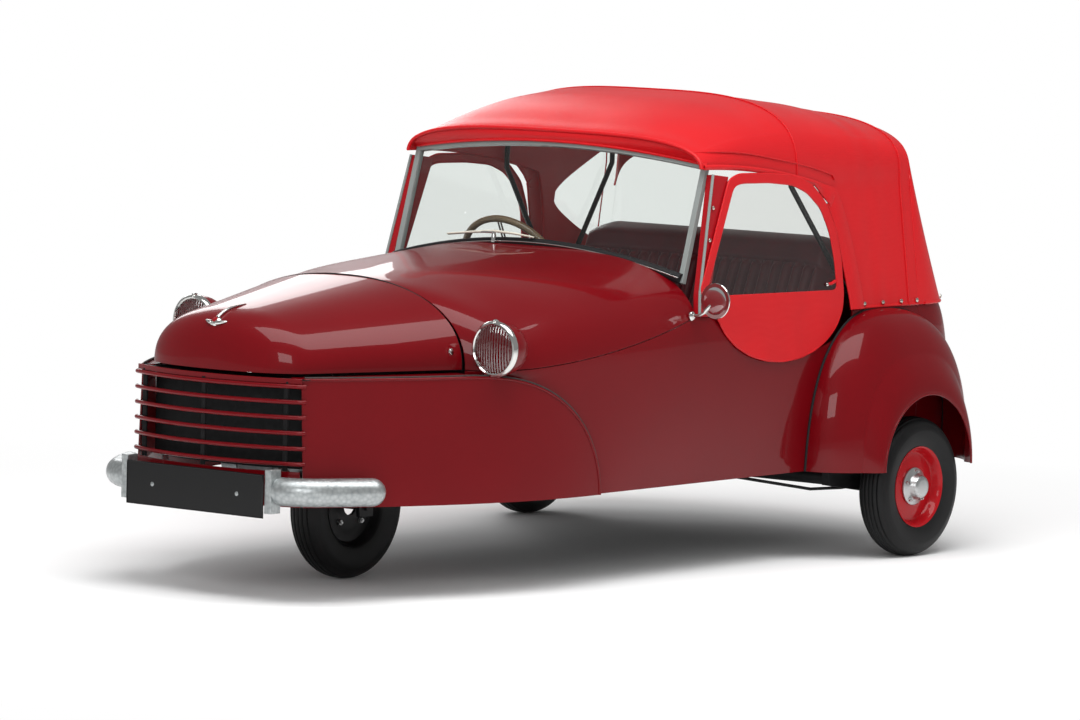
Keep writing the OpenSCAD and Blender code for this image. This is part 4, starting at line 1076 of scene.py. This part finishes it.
cloth_area(outer, in_side_pane)
cloth_area(back_outer, in_back_pane)
clear_sheet = clear_glass("clear_vinyl", "clear_sheet", "#f9faf9", 0.08, 0.03)
side_pane = outer[tip_row:, top_pane[0]:top_pane[1] + 1] + [hood_t + 0.5, 0, 0]
shell("hood_side_pane", side_pane, 1.5, clear_sheet, replaces=["rear_window"])
pane_vs = [lerp(pane_rows[0], pane_rows[1], j / 30) / back_rows for j in range(31)]
back_pane = np.array([[back_point(i / back_cols, v, hood_t + gap) for v in pane_vs]
                      for i in range(pane_from, back_cols + 1)])
shell("hood_back_pane", back_pane, 1.5, clear_sheet)

# seams over the bows, hems, piping and studs
hood_stud = [(0, 5), (4, 4.2), (6.5, 2), (6.5, -1)]
hem_lift = 46  # the piping's height over the hood's lower edge
for k, y0 in enumerate(stick_ys):
    seam = np.array(hood_section(y0, -1.4))
    tube(f"hood_seam_{k + 1}", seam, 2.2, cloth_red, 8)
front_edge = np.array(hood_section(hood_front_y + 2, 1))
tube("hood_front_roll", front_edge + [0, 0, -1], 6.0, cloth_red, 14)
for side, word in both_sides:
    edge = [[side * (wall_x(y, hood_low(y)) - 3), y, hood_low(y) + 2]
            for y in np.linspace(hood_front_y + 4, tip_y, 90)]
    tube(f"{word}_hood_hem", edge, 4.6, cloth_red, 12)
    foot = [[side * (hem_x - 3), y, hem_z + 3] for y in np.linspace(tip_y, corner_y, 30)]
    tube(f"{word}_hood_foot", foot, 4.6, cloth_red, 12)
    piped = [[side * (wall_x(y, hood_low(y) + hem_lift) + 1.0), y,
              hood_low(y) + hem_lift - 1.5 * math.sin(y / 60)]
             for y in np.linspace(hood_front_y + 4, 1480, 60)]
    tube(f"{word}_hood_piping", piped, 2.6, cloth_red, 10)
    for number, y in enumerate((1580, 1670, 1760, 1838)):
        turned(f"{word}_hood_stud_{number + 1}", hood_stud,
               (side * (hem_x + 0.5), y, hem_z + 14), (side, 0, 0), studs, 20)
# a doubled flap runs along the cloth's lower edge and down the quarter, over the side screen
ys = [*np.linspace(hood_front_y + 6, 1400, 50), *np.linspace(1404, tip_y, 50)]
edge = np.array([[y, hood_low(y)] for y in ys])
run = np.gradient(edge, axis=0)
run /= np.linalg.norm(run, axis=1, keepdims=True)
inward = np.stack([run[:, 1], -run[:, 0]], 1)
flap = []
for t in np.linspace(0, 1, 9):
    row = []
    for k in range(len(ys)):
        reach = lerp(10, 60, clamp01((ys[k] - 1380) / 90)) * t - 10
        y, z = edge[k] + inward[k] * reach
        ripple = 1.6 * t * math.sin(k / 3.1) + 5.0 + 3.0 * sin(180 * t)
        row.append([wall_x(y, max(z, hem_z)) + ripple, y, max(z, hem_z + 1)])
    flap.append(row)
flap = np.array(flap)
for side, word in both_sides:
    shell(f"{word}_hood_flap", flap[::-1] if side > 0 else flipped(flap), 2.4, cloth_red)
    tube(f"{word}_flap_roll", flap[-1] * [side, 1, 1], 3.4, cloth_red, 12)
# the roof's front edge turns down over the screen's top rail
front_arc = np.array(hood_section(hood_front_y + 3, 1))
middle_arc = front_arc[np.abs(front_arc[:, 0]) < 535]
peak = np.array([[x, screen_at(x, screen_top(x) + 9) - 13, screen_top(min(screen_hw, abs(x))) + 9]
                 for x in middle_arc[:, 0]])
peak_grid = [[lerp(a, b, t) + [0, -5 * sin(180 * t), 0] for t in np.linspace(0, 1, 9)]
             for a, b in zip(middle_arc, peak)]
shell("hood_front_flap", peak_grid, 3, cloth_red)
tube("hood_front_hem", peak - [0, 1, 0], 4.0, cloth_red, 12)
tail_hem = [back_low(180 * t, 2) + [0, 0, 3] for t in np.linspace(0.01, 0.99, 80)]
tube("hood_tail_hem", tail_hem, 4.6, cloth_red, 12)
for number, t in enumerate(np.linspace(0.16, 0.84, 7)):
    at = back_low(180 * t, 0)
    out = back_low(180 * t, -4) - back_low(180 * t, 0)
    turned(f"tail_hood_stud_{number + 1}", hood_stud, at + [0, 0, 14], out / np.linalg.norm(out),
           studs, 20)
pane_edge = [back_outer[pane_from, j] for j in range(pane_rows[0], pane_rows[1] + 1)]
pane_edge += [back_outer[i, pane_rows[1]] for i in range(pane_from, back_cols + 1)]
tube("pane_binding_back", np.array(pane_edge) + [0, 1, 0], 3.0, cloth_red, 10)
pane_foot = back_outer[pane_from:, pane_rows[0]] + [0, 1, 0]
tube("pane_binding_foot", pane_foot, 3.0, cloth_red, 10)
low_side = [outer[i, top_pane[1]] for i in range(len(hood_ys) - 1, tip_row - 1, -1)]
high_side = [outer[i, top_pane[0]] for i in range(tip_row, len(hood_ys))]
tube("pane_binding_side", np.array(low_side + high_side) - [1, 0, 0], 3.0, cloth_red, 10)

# ---------------------------------------------------------------- hood sticks
# Two bows of bent steel tube, painted black, on a pivot inside each quarter.
stick_paint = gloss_paint("black_tube_enamel", "#101011", 8.0, "dark_steel")
bow_in, pivot_y, pivot_z = hood_t + 14, 1600, 690
foot_x = side_x(pivot_y, 722) - panel_t - 10
for number, (y, foot_at) in enumerate(zip(stick_ys, (pivot_y - 14, pivot_y + 14))):
    s = shoulder_z(y)
    h = roof_at(y) - s
    left_foot, right_foot = np.array([[foot_x, foot_at, pivot_z], [-foot_x, foot_at, pivot_z]])
    arc = np.array([[(hood_x(s) - bow_in) * spow(cos(a), 2 / hood_exp), y,
                     s + (h - bow_in) * abs(sin(a)) ** (2 / hood_exp)]
                    for a in np.linspace(0, 180, 72)])
    leg = np.linspace(0, 1, 16)
    path = [*[lerp(left_foot, arc[0], t) for t in leg[:-1]], *arc,
            *[lerp(arc[-1], right_foot, t) for t in leg[1:]]]
    tube(f"hood_bow_{number + 1}", path, 7.8, stick_paint, 16,
         replaces=["hood_frame"] if number == 0 else [])
    for side in (-1, 1):
        turned(f"hood_pivot_{number + 1}_{'l' if side > 0 else 'r'}",
               [(11, 0), (11, 9), (8, 11), (0, 11.5)],
               (side * (foot_x - 1), foot_at, pivot_z + 5), (side, 0, 0), stick_paint, 28)

# ---------------------------------------------------------------- side screens
# A steel-wired frame bound in the same red cloth, with a clear sheet sewn into its upper half
# and a rounded cloth apron below that hangs over the cut-down side.
tilt_x = 0.092


def on_screen(y, h, out):
    """a point on the leaning screen, h up from the waist and out from its face"""
    lean = math.atan(tilt_x)
    return [593 - h * math.sin(lean) + out * math.cos(lean), y,
            waist_z + h * math.cos(lean) + out * math.sin(lean)]


def rounded(points, count, passes):
    """a closed outline as evenly spaced points with its corners smoothed"""
    p = np.vstack([points, points[:1]]).astype(float)
    run = np.concatenate([[0], np.cumsum(np.linalg.norm(np.diff(p, axis=0), axis=1))])
    s = np.linspace(0, run[-1], count, endpoint=False)
    q = np.stack([np.interp(s, run, p[:, 0]), np.interp(s, run, p[:, 1])], 1)
    for _ in range(passes):
        q = (np.roll(q, 1, 0) + 2 * q + np.roll(q, -1, 0)) / 4
    return q


window = [[838, 186], [984, 474], [1020, 482], [1150, 480], [1262, 470], [1330, 446],
          [1390, 400], [1428, 330], [1446, 250], [1452, 170], [1452, 162], [846, 170]]
apron = [[1178 + 300 * cos(a), 150 - 175 * sin(a)] for a in range(0, 180, 15)]
border = [[812, 186], [966, 492], [1012, 506], [1150, 504], [1272, 494], [1350, 468], [1414, 414],
          [1454, 336], [1474, 250], [1478, 150], *apron, [876, 120]]
inner_loop = rounded(window, 240, 8)
outer_loop = rounded(border, 240, 4)
# both loops start at the same heading round a common middle so that they pair up
middle = np.array([1170, 330.0])


def by_heading(loop):
    a = np.arctan2(loop[:, 1] - middle[1], loop[:, 0] - middle[0])
    order = np.argsort(a)
    a, loop = a[order], loop[order]
    a = np.concatenate([a - 2 * np.pi, a, a + 2 * np.pi])
    loop = np.vstack([loop, loop, loop])
    return np.stack([np.interp(headings, a, loop[:, 0]), np.interp(headings, a, loop[:, 1])], 1)


headings = np.linspace(-np.pi, np.pi, 300, endpoint=False)
hole, rim_line = by_heading(inner_loop), by_heading(outer_loop)
for side, word in both_sides:
    ring = []
    for t in np.linspace(0, 1, 13):
        loop = hole + (rim_line - hole) * t
        low = np.clip((180 - loop[:, 1]) / 200, 0, 1)
        wave = 1.2 * np.sin(loop[:, 0] / 24 + loop[:, 1] / 60) * low
        ring.append([on_screen(a, b, 2.6 + w) for (a, b), w in zip(loop, wave)])
    ring = np.array(ring)
    ring = np.concatenate([ring, ring[:, :1]], 1) * [side, 1, 1]
    shell(f"{word}_screen_cloth", ring if side < 0 else ring[::-1], 2.4, cloth_red,
          replaces=[f"{word}_side_screen"])
    for label, loop, thick in (("inner", hole, 3.0), ("outer", rim_line, 3.4)):
        path = np.array([on_screen(a, b, 2.0) for a, b in loop]) * [side, 1, 1]
        tube(f"{word}_screen_binding_{label}", path, thick, cloth_red, 10, closed=True)
    pane_grid = []
    for t in np.linspace(0.02, 1, 14):
        loop = middle + (hole - middle) * t
        pane_grid.append([on_screen(a, b, 1.6) for a, b in loop])
    pane_grid = np.array(pane_grid)
    pane_grid = np.concatenate([pane_grid, pane_grid[:, :1]], 1) * [side, 1, 1]
    shell(f"{word}_screen_clear", pane_grid if side < 0 else pane_grid[::-1], 1.2, clear_sheet,
          replaces=["side_windows"] if side > 0 else [])
    strap = np.array([on_screen(1440, 190, 4.5), on_screen(1420, 184, 6.0),
                      on_screen(1398, 182, 5.0)]) * [side, 1, 1]
    tube(f"{word}_screen_strap", strap, [5, 4.4, 3.6], cloth_red, 10)
    turned(f"{word}_strap_stud", [(0, 4), (3.5, 3.2), (5.5, 1), (5.5, -2)],
           strap[2] + [side * 2.5, 0, 0], (side, 0, 0.1), chrome, 20)

# ---------------------------------------------------------------- seats
# One bench with a sprung cushion and a leaning squab, covered in dark maroon leathercloth over
# rubber and hair, drawn into upright pleats with a plain roll along the top.
seat_hw, seat_lean, seat_joint_y, seat_back_t, seat_back_top = 470, 22, 1440, 90, 925
cushion_y, cushion_top, floor_top = 1050, 548, 262
pleat, roll_mm, cushion_t, squab_t = 37.6, 92, 96, 84
pad_half = seat_hw - 5
leather, tree, coords = new_material("maroon_leathercloth", "seat_cover")
pores = add(tree, "ShaderNodeTexVoronoi", {"Vector": coords, "Scale": 520.0})
finish_material(tree, "ShaderNodeBsdfPrincipled", {
    "Base Color": blend(tree, noise(tree, coords, 14.0, 6.0), "#6b1c28", "#4a121b"),
    "Roughness": 0.42, "Sheen Weight": 0.2,
    "Normal": bumps(tree, pores.outputs["Distance"], 0.35, 0.7)})


def seat_face_y(z):
    return seat_joint_y + (z - cushion_top) * math.tan(math.radians(seat_lean))


def padded_block(name, place, width, length, depth, replaced):
    """pleated pad: place(across, along, out) puts a point; the edges are full and rounded"""
    cols, rows = 200, 70
    front = []
    for i in range(cols + 1):
        x = lerp(-width, width, i / cols)
        row = []
        for j in range(rows + 1):
            t = length * j / rows
            near = min(width - abs(x), t + 4, length - t + 4)
            full = 1 - (1 - clamp01(near / 46)) ** 2.4
            groove = 7.5 * bell(x / pleat - round(x / pleat), 0.13)
            swell = 12 * (1 - (2 * (x / pleat - math.floor(x / pleat)) - 1) ** 2)
            if length - t < roll_mm:
                swell, groove = 7, 0
            seam = 9 * bell(length - t - roll_mm, 6)
            row.append(place(x, t, (depth - 14 + swell) * full - groove - seam))
        front.append(row)
    front = np.array(front)
    rear = np.array([[place(lerp(-width, width, i / cols), length * j / rows, 3.0)
                      for j in range(rows + 1)] for i in range(cols + 1)])
    return shell(name, front, 10, leather, inner=rear, replaces=[replaced], crisp=60)


def on_cushion(x, t, out):
    """runs from the front edge back; the front drops in a rounded nose"""
    nose = clamp01(1 - t / 60) ** 2 * nose_drop
    return [x * 0.995, cushion_y + 10 + t, floor_top + 190 + min(out, cushion_t) - nose]


nose_drop, cushion_len = 46, 372
cushion = padded_block("seat_cushion_cover", on_cushion, pad_half, cushion_len, cushion_t,
                       "seat_cushion")
skirt_half = seat_hw - 8
skirt_grid = [[[x, cushion_y + 7 - 5 * sin(18 * k),
                lerp(floor_top + 2, cushion_top - nose_drop, k / 10)]
               for k in range(11)] for x in np.linspace(-skirt_half, skirt_half, 40)]
shell("seat_skirt", skirt_grid, 8, leather)
squab_low = floor_top + seat_back_t * sin(seat_lean) + 120
squab_len = (seat_back_top - squab_low) / cos(seat_lean)


def on_squab(x, t, out):
    """runs from the joint with the cushion up; the top corners are rounded off"""
    z = squab_low + t * cos(seat_lean)
    corner = 1 - math.sqrt(max(0.0, 1 - clamp01((abs(x) - 360) / 110) ** 2))
    drop = 100 * corner * clamp01(t / squab_len) ** 4
    y = seat_face_y(z) + squab_t
    return [x * 0.995, y - out * cos(seat_lean), z + 0.35 * out * sin(seat_lean) - drop]


squab = padded_block("seat_squab_cover", on_squab, pad_half, squab_len - 30, squab_t, "seat_back")

# ---------------------------------------------------------------- controls
# A steel column with a sprung boss, and a tan plastic-covered wheel on three plain spokes.
column_at = np.array([-262.0, 1035.0, 778.0])
column_axis = np.array([0, -cos(28), -sin(28)])
bakelite, tree, coords = new_material("tan_plastic_rim", "wheel_rim_cover")
finish_material(tree, "ShaderNodeBsdfPrincipled", {
    "Base Color": blend(tree, noise(tree, coords, 30.0, 5.0), "#8d765b", "#5b4836"),
    "Roughness": 0.3, "Coat Weight": 0.4})
wheel_u = np.array([1.0, 0, 0])
wheel_v = np.cross(column_axis, wheel_u)
rim_r, rim_t, spoke_end = 178, 10.2, 172
rim_angles = np.linspace(0, 2 * np.pi, 96, endpoint=False)
ring = [column_at + rim_r * (math.cos(a) * wheel_u + math.sin(a) * wheel_v) for a in rim_angles]
grip = [rim_t + 0.6 * math.sin(48 * a) for a in rim_angles]
tube("steering_rim", ring, grip, bakelite, 18, closed=True, body="steering_wheel",
     replaces=["steering_wheel"])
for number in range(3):
    a = math.radians(90 + 120 * number)
    arm = wheel_u * math.cos(a) + wheel_v * math.sin(a)
    for shift in (-5, 5):
        beside = np.cross(column_axis, arm) * shift
        spoke = [column_at + arm * r + beside + column_axis * (6 - 6 * r / spoke_end)
                 for r in np.linspace(18, spoke_end, 12)]
        tube(f"steering_spoke_{number + 1}_{'a' if shift < 0 else 'b'}", spoke, 2.6, chrome, 10,
             body="steering_wheel")
boss = [(0, -15), (14, -14), (26, -8), (30, 0), (30, 14), (24, 24), (16, 28)]
turned("steering_boss", boss, column_at, column_axis, rubber, 48, body="steering_wheel")
turned("steering_shaft", [(8.8, 26), (8.8, 200)], column_at, column_axis, chrome, 28,
       body="steering_wheel")

# ---------------------------------------------------------------- road wheels
# Pressed steel discs with a deep red dish, a bright aluminium hub held by nuts, and narrow black
# tyres with plain ribs round the tread. The front disc is drawn in the black chassis paint as
# painted shade, for the shadow it sits in under the nose.
wheelbase, rear_track, tyre_d, tyre_w, rim_d = 1660, 1400, 400, 100, 232
tyre_black, tree, coords = new_material("tyre_rubber_black", "tyre_rubber")
finish_material(tree, "ShaderNodeBsdfPrincipled", {
    "Base Color": blend(tree, noise(tree, coords, 22.0, 7.0), "#070708", "#161617"),
    "Roughness": 0.5, "Specular IOR Level": 0.25,
    "Normal": bumps(tree, noise(tree, coords, 1200.0), 0.2, 0.5)})
wheel_red = gloss_paint("red_wheel_enamel", "#b0121b", 7.0, "wheel_paint")
hub_metal = bright_metal("cast_hub_alloy", "#b9bbbb", 0.28, 0.6, 0.9, "hub_alloy")
# black chassis enamel; on the front wheel's disc it is painted shade
chassis_black_and_shade = black_rubber("chassis_black_and_painted_shade", "#121213", 0.4)


def tyre_profile():
    """the tyre's closed outline: a rounded tread with five grooves, and ribbed walls"""
    half = []
    for k in range(121):
        a = 75 - 150 * k / 120
        r = rim_d / 2 + 12 + (tyre_d / 2 - rim_d / 2 - 12) * abs(cos(a)) ** 0.55
        w = tyre_w / 2 * spow(sin(a), 0.8)
        if abs(w) < 36:
            groove = sum(bell(w - g, 1.7) for g in (-27, -13.5, 0, 13.5, 27))
            r -= 5.0 * min(1, groove)
        if abs(a) > 52:
            r -= 0.9 * (0.5 + 0.5 * math.sin(a * 1.9))
        half.append((r, w))
    return [(rim_d / 2, 36)] + half + [(rim_d / 2, -36), (rim_d / 2, 36)]


disc = [(116, -38), (112.5, -37), (108, -33), (103, -12), (96, 0), (60, 5), (27, 6), (27, 15.5),
        (46, 15.5), (72, 13), (94, 8), (99.5, 9), (104, 16), (108, 30), (112.5, 36.5), (116, 38),
        (116, -38)]
flange = [(24, 12), (53, 16.0), (54, 21), (50, 24), (38, 27), (35, 30), (33, 46), (29, 50.5),
          (20, 52), (0, 52)]
drum = [(20, -6.5), (86, -6.5), (88, -8), (88, -43), (86, -46), (20, -46)]
wheel_nut = [(8.5, 0), (8.5, 6), (6.5, 8), (4, 8), (4, 12), (0, 12.5)]
hub_bolt = [(6, 0), (6, 8), (4.5, 9.5), (3, 9.5), (3, 14), (0, 14.5)]


def bolt_ring(name, count, first, radius, out, profile):
    """bolts round the hub, the first at the given heading, on the wheel now being built"""
    for number in range(count):
        a = math.radians(first + 360 / count * number)
        seat = at + np.array([out, radius * math.cos(a), radius * math.sin(a)])
        turned(f"{name}_{number + 1}", profile, seat, axis, hub_metal, 6, body=body)


for word, body, sign in (("left", "left_rear_wheel", 1), ("right", "right_rear_wheel", -1),
                         ("front", "front_wheel", 1)):
    place = (0, 0) if word == "front" else (sign * rear_track / 2, wheelbase)
    at = np.array([*place, tyre_d / 2])
    axis = (sign, 0, 0)
    prefix = "front" if word == "front" else f"{word}_rear"
    turned(f"{prefix}_tread", tyre_profile(), at, axis, tyre_black, 128, body=body,
           replaces=[f"{prefix}_tyre"])
    # the front disc is painted shade: black chassis paint for the shadow under the nose
    turned(f"{prefix}_disc", disc, at, axis, wheel_red if word != "front" else chassis_black_and_shade, 96,
           body=body,
           slot_name="wheel_paint", replaces=[f"{prefix}_wheel"])
    if word == "front":
        bolt_ring(f"{prefix}_nut", 4, 45, 62, sign * 14.4, wheel_nut)
    else:
        turned(f"{prefix}_hub_cap", flange, at, axis, hub_metal, 64, body=body,
               replaces=[f"{word}_hub"])
        turned(f"{prefix}_drum", drum, at, axis, chassis_black_and_shade, 80, body=body)
        bolt_ring(f"{prefix}_hub_bolt", 5, 90, 44, sign * 22, hub_bolt)

# ---------------------------------------------------------------- engine
# A small air-cooled single on the front of the fork: a cast crankcase with its gearbox behind,
# a finned iron cylinder and alloy head, a flywheel cover on one side and a tin exhaust.
alloy = bright_metal("engine_cast_alloy", "#84888a", 0.42, 1.2, 0.85, "engine_alloy")
iron = bright_metal("rusted_cast_iron", "#4a3f3a", 0.6, 1.5, 0.5, "engine_alloy")


def casting(name, low, high, round_mm, mat):
    """a cast box with rounded edges between two corners in mm"""
    x, y, z = [(low[i], high[i]) for i in range(3)]
    points = [[x[i & 1], y[i >> 1 & 1], z[i >> 2]] for i in range(8)]
    faces = [(0, 2, 3, 1), (4, 5, 7, 6), (0, 1, 5, 4), (2, 6, 7, 3), (0, 4, 6, 2), (1, 3, 7, 5)]
    obj = piece(name, points, faces, mat, body="steering_unit")
    rounding = obj.modifiers.new("edge", "BEVEL")
    rounding.width = round_mm / 1000
    rounding.segments = 5
    return obj


cylinder_foot, upward = (0, -340, 0), (0, 0, 1)
on_fork = {"body": "steering_unit", "slot_name": "engine_alloy"}
crankcase = casting("engine_crankcase", (-58, -398, 280), (58, -262, 396), 22, alloy)
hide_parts("engine")
casting("engine_gearbox", (-48, -290, 284), (66, -228, 372), 18, alloy)
casting("engine_mount", (-42, -300, 380), (42, -228, 428), 8, chassis_black_and_shade)
barrel = [(0, 394), (52, 394), (52, 402), (40, 403)]
for number in range(12):
    z = 408 + 10 * number
    barrel += [(40, z), (57 - 0.4 * number, z + 0.8), (57 - 0.4 * number, z + 3.2), (40, z + 4)]
turned("engine_barrel", barrel + [(40, 528), (0, 528)], cylinder_foot, upward, iron, 56, **on_fork)
head = [(0, 527), (50, 527), (50, 532), (38, 533), (48, 536), (48, 538), (36, 539), (44, 542),
        (44, 544), (28, 546), (0, 547)]
turned("engine_head", head, cylinder_foot, upward, alloy, 56, **on_fork)
turned("engine_plug", [(7, 546), (7, 551), (4.5, 552), (4.5, 559), (0, 560)], cylinder_foot, upward,
       cream, 20, **on_fork)
cover = [(0, 56), (62, 58), (66, 66), (66, 104), (58, 116), (30, 124), (0, 126)]
turned("engine_flywheel_cover", cover, (0, -328, 340), (-1, 0, 0), alloy, 64, **on_fork)
sprocket_case = [(0, 56), (50, 57), (54, 64), (52, 84), (40, 92), (0, 94)]
turned("engine_chain_case", sprocket_case, (0, -320, 338), (1, 0, 0), alloy, 56, **on_fork)
exhaust = [[20, -382, 470], [44, -394, 462], [66, -396, 430], [84, -392, 380], [98, -380, 330],
           [104, -350, 302], [104, -300, 296]]
fine = np.linspace(0, 1, 40)
knots = np.linspace(0, 1, len(exhaust))
bend = np.stack([np.interp(fine, knots, np.array(exhaust, float)[:, k]) for k in range(3)], 1)
for _ in range(12):
    bend[1:-1] = (bend[:-2] + 2 * bend[1:-1] + bend[2:]) / 4
tube("engine_exhaust", bend, 11, iron, 18, **on_fork)
turned("engine_silencer", [(0, 0), (16, 3), (19, 10), (19, 56), (16, 63), (0, 66)],
       (104, -296, 296), (0, 1, 0), iron, 36, **on_fork)
turned("engine_carburettor", [(0, 0), (15, 0), (15, 30), (22, 32), (22, 44), (0, 45)],
       (-38, -300, 440), (-0.6, 0.8, 0), alloy, 32, **on_fork)

# ---------------------------------------------------------------- running gear and cabin trim
# The parts that come straight from the frame get the finish of the real ones: black chassis
# enamel, and a maroon leathercloth-covered dashboard.
finish = {"floor_pan": chassis_black_and_shade, "front_bulkhead": chassis_black_and_shade, "dashboard": leather,
          "steering_column": chassis_black_and_shade, "brake_rod": chassis_black_and_shade, "steering_unit": chassis_black_and_shade,
          "rear_axle": chassis_black_and_shade}
for node_name, mat in finish.items():
    for holder in frame["nodes"][node_name].material_slots:
        holder.material = mat
